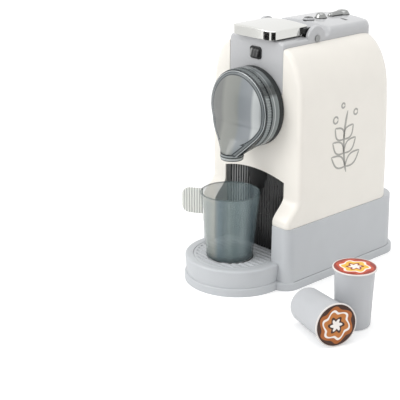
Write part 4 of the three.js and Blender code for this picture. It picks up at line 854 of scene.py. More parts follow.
lever = {"half": 23.3, "front": -41.9, "back": 1.2, "capBack": -6.4, "low": 206.5, "top": 215.2, "round": 6.6,
         "edge": 0.9, "foot": 0.3, "lip": 0.25, "wall": 1.4, "crown": 1.4, "lidWall": 0.8, "lidDrop": 0.9,
         "lidReach": 9.0, "backRound": 1.2, "backRoundLess": 0.9, "innerEdge": 0.6, "under": 3.0, "fine": 8,
         "shrink": [0.9, 0.78, 0.64, 0.5, 0.36, 0.22, 0.1, 0.02],
         "armHalf": 25.7, "armSeat": 0.2, "armGap": 0.2, "webGap": 0.05, "armLow": 207.5,
         "armBack": 0.4, "webInner": 20.6, "webOuter": 26.2,
         "webRise": 3.5, "coreBack": 3.0, "coreGap": 0.3, "coreLow": 0.6, "knuckle": 8.0,
         "knuckleEdge": 0.5, "pinHole": 2.3}


def crowned(shape, foot):
    # the top sinks to both sides with the square of the distance from the middle; the foot stays
    points, faces = shape
    v = lever
    share = np.clip((points[:, 2] - foot) / (v["top"] - foot), 0, 1)
    sink = v["crown"] * share * (points[:, 0] / v["half"]) ** 2
    return points - np.stack([0 * sink, 0 * sink, sink], -1), faces


def underLid(half, y, low, gap):
    # sections along X of what lies under the lid; their top sinks to both sides and to the hinge
    v = lever
    x = np.linspace(-half, half, 29)
    top = v["top"] - v["lidWall"] - gap - v["crown"] * (x / v["half"]) ** 2
    rings = [[y[0], low, 0], [y[1], low, 0], [y[1], 0, y[1] - v["capBack"]], [y[0], 0, y[0] - v["capBack"]]]
    points = []
    for place, foot, behind in rings:
        height = np.full_like(x, foot) if foot else top - v["lidDrop"] * max(behind, 0) / v["lidReach"]
        points.append(np.stack([x, np.full_like(x, place), height], -1))
    return gridMesh(np.stack(points, 1))


def leverCap():
    # a plate with a skirt: an outer block, hollowed from below and open behind the skirt; rings that
    # shrink to the middle carry the crown over its top
    v = lever
    half, wall, low, top = v["half"], v["wall"], v["low"], v["top"]
    edge, foot, lip = v["edge"], v["foot"], v["lip"]
    turn = np.linspace(0, quarter, filletSteps + 1)
    inset = np.concatenate([foot * (1 - np.sin(turn)), [0, 0], edge * (1 - np.cos(turn))])
    heights = np.concatenate([low + foot * (1 - np.cos(turn)), [low + foot + lip, top - edge - lip],
                              top - edge * (1 - np.sin(turn))])
    rings = roundRing(half - inset, v["front"] + inset, v["back"] - inset, v["round"] - inset,
                      v["backRound"] - inset * v["backRoundLess"])
    count = rings.shape[1]
    closed = np.concatenate([rings, rings[:, :1]], 1)
    place = np.arange(v["fine"] * count) / v["fine"]
    fine = np.stack([[np.interp(place, np.arange(count + 1), ring[:, i]) for i in (0, 1)] for ring in closed])
    fine = np.moveaxis(fine, 1, 2)
    middle = np.array([0, (v["front"] + v["back"]) / 2])
    shrink = np.array(v["shrink"])[:, None, None]
    fine = np.concatenate([fine, middle + shrink * (fine[-1:] - middle)])
    heights = np.concatenate([heights, np.full(len(shrink), top)])
    outer = scratchObject("leverCap", crowned(stacked(fine, heights), low))
    inner = softBox(half - wall, v["front"] + wall, v["capBack"] + 1, low - v["under"], top - wall,
                    v["round"] - wall, v["innerEdge"])
    behind = underLid(half + 1, (v["capBack"], v["back"] + overrun), low - v["under"], 0)
    return combined(outer, cut(crowned(inner, low)), cut(behind))


def knuckleDisc(radius, across, edge=0.0):
    # a disc on the hinge's axis between two limits along X, its rims rounded
    return alongHinge([(0, across[0]), (radius, across[0], edge), (radius, across[1], edge), (0, across[1])])


def leverArm():
    # black bridge under the lid with two webs that reach down to round knuckles on the hinge
    v, s = lever, spine
    seat = (v["capBack"] + v["armSeat"], v["armBack"])
    bridge = scratchObject("leverArm", underLid(v["armHalf"], seat, v["armLow"], v["armGap"]))
    inset = v["wall"] + v["coreGap"]
    core = softBox(v["half"] - inset, v["front"] + inset, v["capBack"] + v["coreBack"], v["armLow"],
                   v["top"] - v["wall"] - v["coreLow"], v["round"] - v["wall"], v["innerEdge"])
    steps = [join(crowned(core, v["armLow"]))]
    for side in (-1, 1):
        across = sorted([side * v["webInner"], side * v["webOuter"]])
        depth = (s["pivotY"] - v["knuckle"], v["armBack"] - v["webGap"])
        steps.append(join(box(across, depth, (s["pivotZ"], v["armLow"] + v["webRise"]))))
        steps.append(join(knuckleDisc(v["knuckle"], across, v["knuckleEdge"])))
        steps.append(cut(knuckleDisc(v["pinHole"], (across[0] - 1, across[1] + 1))))
    return combined(bridge, *steps)


finished(leverCap(), "chrome", "lever", ["lever_cap"], 32)
finished(leverArm(), "black", "lever", ["lever_arm"], 32)

# Tank

tank = {"centre": 148.5, "radius": 32.4, "rim": -54.5, "back": -49.0, "flat": 0.9, "dome": 5.5, "wall": 1.8,
        "spoutRadius": 9.3, "spoutLow": 111.5, "spoutY": -61.1, "blendLow": 111.5, "blendHigh": 137.5,
        "backBlend": 9.0, "under": 3.0, "backCut": 0.9, "cutLow": 119.0, "cutHigh": 200.0,
        "columns": 128, "leastHalf": 0.02, "leastSquare": 1e-4,
        "flatPower": 5, "topIn": 0.03, "circleFrom": -0.75, "circleLevels": 60, "funnelLevels": 16,
        "alpha": 0.86, "roughness": 0.24, "coat": 0.3, "grainScale": 1800.0, "grainStrength": 0.3,
        "grainHeight": 0.00004, "lineReach": 0.005, "lineSoft": 0.03, "leftShare": 0.58, "leftEnd": 0.7,
        # painted light round the rim: a bright painted highlight between dark painted shading lines
        "lines": [(0.0, (50, 55, 57)), (0.09, (50, 55, 57)), (0.12, (204, 209, 211)), (0.18, (190, 196, 198)),
                  (0.22, (66, 72, 74)), (0.32, (88, 94, 96)), (0.44, (122, 128, 130)), (0.6, (114, 120, 122)),
                  (0.65, (58, 64, 66)), (0.74, (60, 66, 68)), (0.78, (118, 124, 126))],
        # painted reflections: upright streaks across x, pale at the right
        "reflectionZones": [(0.0, (124, 126, 125)), (0.26, (126, 128, 126)), (0.34, (148, 150, 145)),
                  (0.56, (140, 143, 139)), (0.62, (136, 142, 146)), (0.78, (148, 153, 157)),
                  (0.82, (196, 200, 200)), (0.9, (188, 192, 193)), (0.95, (128, 134, 136))]}


def tankOutlineHalf(z):
    # the circle, and below its tangent point a straight line in to the spout
    k = tank
    drop = k["centre"] - k["spoutLow"]
    angle = math.atan2(-drop, k["spoutRadius"]) + math.acos(k["radius"] / math.hypot(k["spoutRadius"], drop))
    touchX, touchZ = k["radius"] * math.cos(angle), k["centre"] + k["radius"] * math.sin(angle)
    share = np.clip((z - k["spoutLow"]) / (touchZ - k["spoutLow"]), 0, 1)
    line = k["spoutRadius"] + (touchX - k["spoutRadius"]) * share
    circle = np.sqrt(np.maximum(k["radius"] ** 2 - (z - k["centre"]) ** 2, k["leastSquare"]))
    return np.where(z > touchZ, circle, line), touchZ


def tankSkin(z, inset):
    # each level is a front curve and a back curve; both turn from a disc's section to the spout's
    k = tank
    half, touchZ = tankOutlineHalf(z)
    half = np.maximum(half - inset, k["leastHalf"])[:, None]
    angle = np.linspace(math.pi, 3 * math.pi, k["columns"] + 1)[:-1][None]
    share = np.clip(np.cos(angle), -1, 1)
    x = half * share
    off = np.maximum(z, touchZ)[:, None] - k["centre"]
    start = np.clip((off / k["radius"]) ** 2, 0, 1)
    reach = np.clip(start + (1 - start) * share**2, 0, 1)
    power = k["flatPower"]
    rim = k["flat"] * (1 - reach**power) ** (1 / power) + k["dome"] * (1 - reach)
    blend = np.clip((z - k["blendLow"]) / (k["blendHigh"] - k["blendLow"]), 0, 1)[:, None]
    discFront = k["rim"] - rim + inset
    spoutFront = k["spoutY"] - (k["spoutRadius"] - inset) * np.sqrt(1 - share**2)
    spoutBack = 2 * k["spoutY"] - spoutFront
    front = spoutFront + (discFront - spoutFront) * blend
    backBlend = smoothStep(z, k["blendLow"], k["blendLow"] + k["backBlend"])[:, None]
    back = spoutBack + (k["back"] - spoutBack) * backBlend
    y = np.where(np.sin(angle) <= 0, front, back)
    return np.stack([x, y, np.broadcast_to(z[:, None], x.shape)], -1)


def tankFace():
    # levels that crowd towards the top, hollowed by the same skin one wall further in, open behind
    k = tank
    top = k["centre"] + k["radius"]
    turn = np.linspace(k["circleFrom"], quarter, k["circleLevels"])
    circle = k["centre"] + (k["radius"] - k["topIn"]) * np.sin(turn)
    funnel = np.linspace(k["spoutLow"], circle[0], k["funnelLevels"])[:-1]
    levels = np.concatenate([funnel, circle])
    outer = scratchObject("tankFace", gridMesh(tankSkin(levels, 0)))
    roof = top - k["wall"]
    innerLevels = np.concatenate([[k["spoutLow"] - k["under"]], levels[levels < roof], [roof]])
    skin = tankSkin(np.clip(innerLevels, k["spoutLow"], None), k["wall"])
    skin[..., 2] = innerLevels[:, None]
    behind = box((-farSide, farSide), (k["back"] - k["backCut"], 0), (k["cutLow"], k["cutHigh"]))
    return combined(outer, cut(gridMesh(skin)), cut(behind))


def tankGlass():
    # lines by the depth inside the outline, which is the circle's above and the funnel's below: a painted
    # highlight and painted dark rim shading; past the last line, soft upright zones by x, which are painted
    # reflections
    k = tank
    material, n, place = newLook("smokyFront")
    x, y, z = n.add("ShaderNodeSeparateXYZ", Vector=place).outputs
    reach = n.length(x, n.mathNode("SUBTRACT", z, k["centre"] * millimetre))
    circle = n.mathNode("SUBTRACT", k["radius"] * millimetre, reach)
    low = k["spoutLow"]
    (start, following), touchZ = tankOutlineHalf(np.array([low, low + 1.0]))
    slope = float(following - start)
    edge = n.mathNode("MULTIPLY", n.mathNode("SUBTRACT", z, low * millimetre), slope)
    edge = n.mathNode("ADD", edge, float(start) * millimetre)
    line = n.mathNode("SUBTRACT", edge, n.mathNode("ABSOLUTE", x))
    line = n.mathNode("MULTIPLY", line, 1 / math.hypot(1, slope))
    under = n.mathNode("SUBTRACT", float(touchZ) * millimetre, z)
    depth = n.mathNode("MAXIMUM", circle, n.mathNode("MINIMUM", line, under))
    depth = n.mathNode("MULTIPLY", depth, 1 / k["lineReach"])
    side = n.factors(n.along(place, (1, 0, 0), -k["radius"], 0), [(0.0, k["leftShare"]), (k["leftEnd"], 1.0)])
    depth = n.mathNode("MULTIPLY", depth, side)
    share = n.mathNode("ADD", n.mathNode("MULTIPLY", x, 1 / (2 * k["radius"] * millimetre)), 0.5)
    last, soft = k["lines"][-1][0], k["lineSoft"]
    inside = n.factors(depth, [(last - soft, 0.0), (last + soft, 1.0)])
    grain = n.add("ShaderNodeTexNoise", Vector=place, Scale=k["grainScale"])
    bump = n.add("ShaderNodeBump", Height=grain.outputs["Fac"], Strength=k["grainStrength"],
                 Distance=k["grainHeight"])
    n.close(n.add("ShaderNodeBsdfPrincipled",
                  Roughness=k["roughness"], Coat_Weight=k["coat"], Alpha=k["alpha"],
                  Base_Color=n.mixed(inside, n.tints(depth, k["lines"]), n.tints(share, k["reflectionZones"])),
                  Normal=bump.outputs[0]))
    return material


drum = {"inside": 31.7, "outside": 33.5, "front": -48.7, "back": -40.4, "floor": 1.8, "boss": 12.0,
        "bossBack": -33.0, "frontEdge": 0.5, "backEdge": 0.3, "bossEdge": 0.4, "span": (-49.0, -40.0),
        # painted light along the drum: a pale painted highlight band, darker at both edges
        "bands": [(0.0, (70, 77, 78)), (0.06, (70, 77, 78)), (0.1, (140, 147, 148)), (0.3, (128, 136, 137)),
                  (0.34, (194, 199, 200)), (0.42, (184, 190, 191)), (0.48, (128, 136, 138)),
                  (0.9, (146, 154, 155)), (0.95, (62, 68, 70))]}
knurl = {"inside": 31.6, "outside": 33.0, "low": -54.0, "high": -49.2, "edge": 0.4}
knurlLook = {"teeth": 90, "toothHeight": 0.35, "steps": 900, "span": (-54.0, -49.0),
             "bands": [(0.0, (84, 90, 92)), (0.15, (158, 164, 165)), (0.8, (150, 157, 158)),
                       (1.0, (96, 103, 105))]}
gasket = {"inside": 30.3, "outside": 33.5, "low": -40.1, "high": -35.3, "edge": 0.8}
collar = {"bore": 6.5, "low": 107.5, "top": 111.0, "span": (107.5, 113.6),
          "outline": [(9.3, 107.5, 0.5), (9.7, 108.9, 0.2), (9.0, 109.3), (9.0, 109.8), (10.0, 110.2, 0.3),
                      (9.8, 111.3, 0.2), (9.2, 111.6), (9.2, 112.2), (9.9, 112.6, 0.3), (9.8, 113.4, 0.3),
                      (9.4, 113.6), (9.4, 111.0)],
          # painted light up the collar: the bright bands are painted highlights, between dark lines
          "bands": [(0.0, (54, 60, 62)), (0.1, (54, 60, 62)), (0.18, (170, 176, 176)),
                    (0.34, (216, 220, 219)), (0.44, (150, 156, 157)), (0.48, (40, 46, 48)),
                    (0.58, (46, 52, 54)), (0.66, (176, 182, 182)), (0.8, (150, 156, 157)),
                    (0.86, (44, 50, 52)), (1.0, (44, 50, 52))]}
topShade = {"span": (112.0, 182.0), "colour": (34, 40, 42), "alpha": 0.92,
            "share": [(0.0, 0.0), (0.72, 0.0), (0.76, 0.8), (0.84, 0.8), (0.9, 0.3), (1.0, 0.25)]}


def onTank(corners, steps=2 * fineRound, teeth=0, toothHeight=0.0):
    # an outline (radius, y) turned round the tank's axis
    return turned(corners, (0, tank["centre"]), "y", steps, 0, teeth, toothHeight)


def tankDrum():
    # a cup-like ring with a floor and a boss that reaches into the body
    d = drum
    floor = d["back"] - d["floor"]
    return onTank([(0, floor), (d["inside"], floor), (d["inside"], d["front"]),
                   (d["outside"], d["front"], d["frontEdge"]), (d["outside"], d["back"], d["backEdge"]),
                   (d["boss"], d["back"]), (d["boss"], d["bossBack"], d["bossEdge"]), (0, d["bossBack"])])


def spoutCollar():
    # two rounded rings with a groove between them, turned round the spout
    c = collar
    corners = [(c["bore"], c["low"])] + c["outline"] + [(c["bore"], c["top"])]
    return turned(corners, (0, tank["spoutY"]))


finish["front"] = tankGlass()
# the drum's bands paint a highlight; on the drum and the knurl, topShade paints a dark band of shade near the
# top
finish["bands"] = zoned("smokyDrumBands", (0, 1, 0), drum["span"], drum["bands"], 0.2, 0.82, 0.4,
                        foot=topShade)
finish["knurl"] = zoned("smokyKnurl", (0, 1, 0), knurlLook["span"], knurlLook["bands"], 0.22, 0.86,
                        foot=topShade)
finish["collar"] = zoned("smokyCollar", (0, 0, 1), collar["span"], collar["bands"], 0.25, 0.9)
finished(tankFace(), "front", "tank", ["tank_face"], 40)
teeth = (knurlLook["steps"], knurlLook["teeth"], knurlLook["toothHeight"])
makePiece("tankKnurl", [onTank(band(**knurl), *teeth)], "knurl", "tank")
makePiece("tankDrum", [tankDrum()], "bands", "tank", ["tank_drum"])
makePiece("tankGasket", [onTank(band(**gasket))], "seal", "tank", ["tank_gasket"])
makePiece("spoutCollar", [spoutCollar()], "collar", "tank", ["spout_collar"])
print("lever and tank made")

# Cup

cup = {"x": -0.85, "y": -61.95, "foot": 22.1, "top": 79.4, "footRadius": 19.6, "rimRadius": 25.2, "wall": 1.3,
       "floor": 3.2, "tabIn": 4.4, "tabReach": 17.0, "tabTall": 22.5, "tabThick": 2.4, "tabRound": 7.0,
       "heading": math.radians(211.0), "ribs": 8, "ribHeight": 0.3, "bandHeading": math.radians(47.56),
       "bandReach": 25.0, "footEdge": 1.2, "lip": 0.6, "floorEdge": 1.0, "steps": 128, "tabEnd": 1.2,
       "tabRows": 60, "tabEndRows": 24, "tabSteps": 72, "tabAcrossPower": 0.35,
       "tabUpPower": 0.25, "tabDrop": 0.3, "closed": 0.0004,
       # painted light across the cup from left to right as seen: painted reflections and painted light seen
       # through it
       "bands": [(0.0, (150, 164, 166)), (0.05, (184, 190, 184)), (0.14, (166, 176, 172)),
                 (0.22, (186, 189, 180)), (0.3, (140, 158, 166)), (0.38, (130, 146, 150)),
                 (0.48, (156, 172, 172)), (0.58, (136, 154, 156)), (0.7, (158, 174, 176)),
                 (0.86, (98, 114, 120)), (0.95, (128, 144, 148)), (1.0, (92, 108, 112))],
       # painted shade: the foot and the lip turn darker and cover more
       "ends": {"span": (22.0, 79.6), "colour": (84, 98, 100), "alpha": 0.62,
                "share": [(0.0, 1.0), (0.03, 0.9), (0.07, 0.35), (0.12, 0.0), (0.975, 0.0), (0.985, 0.9),
                          (1.0, 0.9)]},
       # painted light on the tab: pale on each rib, darker painted shade between the ribs
       "tabBands": [(0.0, (150, 154, 150)), (0.16, (150, 154, 150)), (0.3, (226, 228, 221)),
                    (0.84, (226, 228, 221)), (1.0, (150, 154, 150))]}


def cupBowl():
    # a straight-sided beaker: outer wall up, round lip, inner wall down to a thick floor
    c = cup
    inFoot, inRim = c["footRadius"] - c["wall"], c["rimRadius"] - c["wall"]
    inside = c["foot"] + c["floor"]
    return turned([(0, c["foot"]), (c["footRadius"], c["foot"], c["footEdge"]),
                   (c["rimRadius"], c["top"], c["lip"]), (inRim, c["top"], c["lip"]),
                   (inFoot, inside, c["floorEdge"]), (0, inside)], (c["x"], c["y"]), steps=c["steps"])


def signedPower(value, exponent):
    # the power of the size, with the sign kept
    return np.sign(value) * np.abs(value) ** exponent


def cupTab():
    # sections across the tab: a flat superellipse whose thickness ripples in ribs along the reach
    c = cup
    start, end = c["footRadius"] + c["tabIn"], c["rimRadius"] + c["tabReach"]
    corner = c["tabRound"]
    straight = np.linspace(start, end - corner, c["tabRows"])[:-1]
    rounded = end - corner + corner * np.sin(np.linspace(0, quarter, c["tabEndRows"]))
    reach = np.concatenate([straight, rounded])
    beyond = np.clip(reach - (end - corner), 0, corner)
    half = c["tabTall"] / 2 - corner + np.sqrt(np.maximum(corner**2 - beyond**2, c["closed"]))
    rib = c["ribHeight"] * np.cos(2 * math.pi * c["ribs"] * (reach - c["rimRadius"]) / c["tabReach"])
    closing = np.sqrt(np.clip((end - reach) / c["tabEnd"], c["closed"], 1))
    thick = (c["tabThick"] / 2 - c["ribHeight"] + rib) * closing
    angle = np.arange(c["tabSteps"]) * 2 * math.pi / c["tabSteps"]
    across = thick[:, None] * signedPower(np.cos(angle), c["tabAcrossPower"])[None]
    up = half[:, None] * signedPower(np.sin(angle), c["tabUpPower"])[None]
    up = up + c["top"] - c["tabDrop"] - c["tabTall"] / 2
    radial = np.broadcast_to(reach[:, None], across.shape)
    x = radial * math.cos(c["heading"]) - across * math.sin(c["heading"]) + c["x"]
    y = radial * math.sin(c["heading"]) + across * math.cos(c["heading"]) + c["y"]
    return gridMesh(np.stack([x, y, up], -1))


def acrossCup(heading, near, far):
    # a level direction, and two places along it counted from the cup's axis
    direction = (math.cos(heading), math.sin(heading), 0.0)
    middle = cup["x"] * direction[0] + cup["y"] * direction[1]
    return direction, (middle + near, middle + far)


# the cup's bands run at right angles to the camera's heading, so they paint light and reflections as seen
bowlAcross = acrossCup(cup["bandHeading"], -cup["bandReach"], cup["bandReach"])
tabAcross = acrossCup(cup["heading"], cup["footRadius"] + cup["tabIn"], cup["rimRadius"] + cup["tabReach"])
finish["cupGlass"] = zoned("smokyCup", *bowlAcross, cup["bands"], 0.14, 0.34, foot=cup["ends"])
finish["tabGlass"] = zoned("smokyTab", *tabAcross, cup["tabBands"], 0.2, 0.62, repeat=cup["ribs"])
makePiece("cupBowl", [cupBowl()], "cupGlass", "cup", ["cup"])
makePiece("cupTab", [cupTab()], "tabGlass", "cup")

# Capsules

capsule = {"height": 48.6, "rim": 17.4, "rimThick": 1.4, "neck": 15.8, "foot": 14.2, "chamfer": 1.6,
           "wall": 1.1, "lidRadius": 16.3, "lidThick": 0.5, "lidSeat": 16.4, "seatDeep": 0.6, "rimLow": 1.0,
           "rimProud": 0.03, "gap": 0.05, "turn": 0.4, "uprightX": 128.0, "uprightY": -52.0,
           "lyingX": 144.9, "lyingY": -91.2, "heading": math.radians(160.4), "footIn": 0.2,
           "footEdge": 1.7, "rimUnder": 0.3, "rimEdge": 0.6, "seatEdge": 0.2, "floorEdge": 0.8,
           "lidInner": 0.6, "ringUnder": 0.3, "ringEdge": 0.5}
lidPattern = {"petals": 6.0, "twist": 5.0, "wave": 0.07, "roughness": 0.35, "grainScale": 60.0,
              "grainStrength": 0.2, "grainHeight": 0.00005}


def lidDesign(name, outer, middle, inner, pale):
    # petals of two warm colours round a pale disc, inside a dark ring: the radius, bent by a sine
    # with one wave for each petal, picks the colour; all from the lid's own UV map
    p = lidPattern
    material = bpy.data.materials.new(name)
    n = Nodes(material)
    uv = n.add("ShaderNodeUVMap", {"uv_map": "lid"}).outputs[0]
    u, v, _ = n.add("ShaderNodeSeparateXYZ", Vector=uv).outputs
    radius = n.length(u, v)
    turn = n.mathNode("MULTIPLY", n.mathNode("ARCTAN2", v, u), p["petals"])
    wave = n.mathNode("SINE", n.mathNode("ADD", turn, n.mathNode("MULTIPLY", radius, p["twist"])))
    bent = n.mathNode("ADD", radius, n.mathNode("MULTIPLY", wave, p["wave"]))
    bands = n.tints(bent, [(0.0, pale), (0.24, pale), (0.26, outer), (0.36, outer), (0.38, inner),
                           (0.58, inner), (0.6, pale), (0.68, pale), (0.7, middle), (0.84, middle),
                           (0.86, outer), (1.0, outer)])
    grain = n.add("ShaderNodeTexNoise", Vector=uv, Scale=p["grainScale"])
    bump = n.add("ShaderNodeBump", Height=grain.outputs["Fac"], Strength=p["grainStrength"],
                 Distance=p["grainHeight"])
    n.close(n.add("ShaderNodeBsdfPrincipled", Roughness=p["roughness"], Base_Color=bands,
                  Normal=bump.outputs[0]))
    return material


def capsuleShapes():
    # a tapered beaker with a rounded rim, a flat lid in the rim's seat, and a paler ring round it
    c = capsule
    top, rimFoot, seat = c["height"], c["height"] - c["rimThick"], c["height"] - c["seatDeep"]
    beaker = turned([(0, 0), (c["foot"] - c["chamfer"] * c["footIn"], 0, c["footEdge"]),
                     (c["foot"], c["chamfer"]), (c["neck"], rimFoot, c["rimUnder"]),
                     (c["rim"], rimFoot, c["rimEdge"]), (c["rim"], top, c["rimEdge"]),
                     (c["lidSeat"], top, c["seatEdge"]), (c["lidSeat"], seat), (c["neck"] - c["wall"], seat),
                     (c["foot"] - c["wall"], c["wall"], c["floorEdge"]), (0, c["wall"])])
    under = top - c["lidThick"]
    lid = turned([(0, under), (c["lidRadius"], under), (c["lidRadius"], top, c["seatEdge"]),
                  (c["lidRadius"] * c["lidInner"], top), (0, top)])
    low, high, outside = top - c["rimLow"], top + c["rimProud"], c["rim"] + c["rimProud"]
    rim = turned([(c["lidSeat"], low), (outside, low, c["ringUnder"]), (outside, high, c["ringEdge"]),
                  (c["lidSeat"], high)])
    return beaker, rim, lid


def placed(shape, turnZ, tiltY, shift):
    # turned about Y, then about Z, then moved
    points, faces = shape
    a, b = tiltY, turnZ
    tilt = np.array([[math.cos(a), 0, math.sin(a)], [0, 1, 0], [-math.sin(a), 0, math.cos(a)]])
    turn = np.array([[math.cos(b), -math.sin(b), 0], [math.sin(b), math.cos(b), 0], [0, 0, 1]])
    return points @ (turn @ tilt).T + np.array(shift), faces


def makeCapsule(name, where, lidLook):
    # the three shapes put in their place; the lid's UV map is its plan before it is moved
    beaker, rim, lid = capsuleShapes()
    makePiece(name, [placed(beaker, *where)], "capsule", name, [name])
    makePiece(name + "Rim", [placed(rim, *where)], "rim", name)
    thing = scratchObject(name + "Lid", lid)
    mesh = thing.data
    co = np.zeros(len(mesh.vertices) * 3)
    mesh.vertices.foreach_get("co", co)
    loops = np.zeros(len(mesh.loops), int)
    mesh.loops.foreach_get("vertex_index", loops)
    flat = co.reshape(-1, 3)[:, :2][loops] / (capsule["lidRadius"] * millimetre)
    mesh.uv_layers.new(name="lid").data.foreach_set("uv", flat.ravel())
    moved, _ = placed((co.reshape(-1, 3) / millimetre, None), *where)
    mesh.vertices.foreach_set("co", (moved * millimetre).ravel())
    mesh.update()
    finished(thing, lidLook, name, [name + "_lid"])


def lyingPlace():
    # it rests on its rim and foot: tilted by the taper, with the lid's middle at the named place
    c = capsule
    tilt = math.atan2(c["rim"] - c["foot"], c["height"] - c["chamfer"])
    run = c["height"] * math.cos(tilt)
    lidRise = c["rim"] * math.cos(tilt) + c["gap"]
    foot = (c["lyingX"] + run * math.cos(c["heading"]), c["lyingY"] + run * math.sin(c["heading"]),
            lidRise - c["height"] * math.sin(tilt))
    return c["heading"] + math.pi, quarter - tilt, foot


redLid = lidDesign("redLid", (150, 42, 26), (196, 70, 34), (240, 190, 60), (250, 238, 230))
brownLid = lidDesign("brownLid", (66, 36, 22), (176, 98, 34), (196, 120, 50), (248, 242, 236))
uprightPlace = (capsule["turn"], 0.0, (capsule["uprightX"], capsule["uprightY"], capsule["gap"]))
makeCapsule("capsule_upright", uprightPlace, redLid)
makeCapsule("capsule_lying", lyingPlace(), brownLid)
print("cup and capsules made")

# Buttons, knob and small prints

stem = {"radius": 2.4, "low": -8.5, "flange": -5.1, "flangeTop": -3.9}
power = {"y": topControls["powerY"], "flange": 5.6,
         "outline": [(4.7, -3.9, 0), (4.7, 1.5, 0.4), (3.8, 2.0, 0.3), (3.0, 1.5, 0.3), (0, 1.5, 0)],
         "dot": [(0, 1.4), (1.9, 1.4), (1.9, 1.8, 0.2), (0, 1.9)],
         "bezel": [(3.2, 1.6), (3.9, 1.8, 0.1), (3.7, 2.15, 0.1), (3.2, 2.0, 0.1)],
         "skirt": [(4.6, -0.4), (4.95, -0.4), (4.95, 0.4, 0.1), (4.6, 0.4)]}
brew = {"y": topControls["brewY"], "flange": 5.9,
        "outline": [(5.0, -3.9, 0), (5.0, 0.5, 0.3), (3.6, 3.4, 0.8), (2.6, 4.0, 0.5), (0, 4.0, 0)],
        "ring": [(4.9, 0.0), (5.28, 0.0, 0.1), (5.28, 0.6, 0.2), (4.9, 0.6)]}
knob = {"y": topControls["knobY"], "foot": 210.9, "reach": 17.5, "tip": 2.4, "root": 4.4, "armHigh": 2.3,
        "armFall": 1.2, "endShare": 0.86, "footWide": 1.16, "footTall": 0.28, "rows": 40, "columns": 48,
        "closed": 0.0005, "tipLift": 0.3, "ovalPower": 0.8,
        "hub": [(0, -13), (2.4, -13), (2.4, 0), (6.0, 0, 0.3), (6.0, 1.2, 0.6), (4.6, 3.5, 2.3), (0, 4.3)],
        "hubFoot": [(4.0, -0.15), (6.45, -0.15, 0.1), (6.45, 0.55, 0.2), (4.0, 0.55)]}
press = {"frame": (6.4, 5.1, 2.4, -36.1, -34.2, 0.5), "button": (4.9, 3.6, 1.6, -38.0, -33.0, 1.2),
         "cornerLess": 0.8, "direction": (1, 0, -0.25), "span": (-53.0, -43.0),
         # painted light across the front button: a lit left facet and painted highlight lines on the dark
         # button
         "bands": [(0.0, (40, 40, 40)), (0.08, (150, 151, 150)), (0.2, (142, 143, 142)), (0.28, (34, 34, 35)),
                   (0.5, (84, 84, 84)), (0.72, (52, 52, 53)), (0.84, (104, 104, 104)), (0.94, (30, 30, 31))]}


def spineCrown(y):
    # the height of the spine's middle at one place
    return float(spineTop(np.array([y]))[0])


def onDeck(control, corners, steps=smallSteps):
    # an outline whose heights count from the deck, turned round a control's middle
    return turned(corners, (0, control["y"]), steps=steps, lift=spineCrown(control["y"]))


def topButton(control):
    # stem, flange and cap in one outline
    s = stem
    start = [(0, s["low"]), (s["radius"], s["low"]), (s["radius"], s["flange"])]
    flange = [(control["flange"], s["flange"], 0), (control["flange"], s["flangeTop"], 0)]
    return onDeck(control, start + flange + control["outline"], 2 * smallSteps)


def onKnob(corners):
    # an outline whose heights count from the knob's foot
    return turned(corners, (0, knob["y"]), steps=smallSteps, lift=knob["foot"])


def knobPointer(wide=1.0, tall=1.0):
    # sections along the pointer: half ovals that narrow and fall towards the tip
    k = knob
    share = np.linspace(0, 1, k["rows"])[:, None]
    angle = np.linspace(0, 2 * math.pi, k["columns"] + 1)[:-1][None]
    taper = k["root"] + (k["tip"] - k["root"]) * share
    beyond = np.clip((share - k["endShare"]) / (1 - k["endShare"]), 0, 1)
    end = np.sqrt(np.clip(1 - beyond**2, k["closed"], 1))
    tipFoot = spineCrown(k["y"] - k["reach"]) + k["tipLift"]
    high = (k["armHigh"] + k["armFall"] * (1 - share)) * end
    x = taper * wide * end * np.cos(angle)
    z = tipFoot + tall * high * np.clip(np.sin(angle), 0, 1) ** k["ovalPower"]
    y = k["y"] - k["reach"] * share + 0 * angle
    return gridMesh(np.stack([x, y, z], -1))


def frontPlate(half, tall, corner, front, back, edge):
    # a block along Y with rounded corners and a round front edge
    turn = np.linspace(0, quarter, filletSteps + 1)
    inset = np.concatenate([edge * (1 - np.sin(turn)), [0]])
    y = np.concatenate([front + edge * (1 - np.cos(turn)), [back]])
    corner = corner - inset * press["cornerLess"]
    plan = roundRing(half - inset, inset - tall, tall - inset, corner, corner)
    depth = np.broadcast_to(y[:, None], plan.shape[:2])
    return gridMesh(np.stack([plan[..., 0], depth, plan[..., 1] + topControls["frontZ"]], -1))


makePiece("powerButton", [topButton(power)], "spineGrey", "power_button", ["power_button"])
for name, part in (("powerDot", "dot"), ("powerBezel", "bezel"), ("powerSkirt", "skirt")):
    makePiece(name, [onDeck(power, power[part])], "button", "power_button")
makePiece("brewButton", [topButton(brew)], "plated", "brew_button", ["brew_button"])
makePiece("brewRing", [onDeck(brew, brew["ring"])], "button", "brew_button")
makePiece("selectorKnob", [onKnob(knob["hub"])], "plated", "selector", ["selector_knob"])
foot = [onKnob(knob["hubFoot"]), knobPointer(knob["footWide"], knob["footTall"])]
makePiece("selectorFoot", foot, "black", "selector")
makePiece("selectorPointer", [knobPointer()], "plated", "selector")
# the front button's colour bands are painted light: a lit facet and painted highlights
finish["press"] = zoned("pressPlastic", press["direction"], press["span"], press["bands"], 0.28)
button = frontPlate(*press["button"])
makePiece("frontButton", [button], "press", "front_button", ["front_button"])
makePiece("frontButtonFrame", [frontPlate(*press["frame"])], "black", "machine")


ink = {"low": 0.02, "high": 0.12, "taper": 3, "least": 0.02}


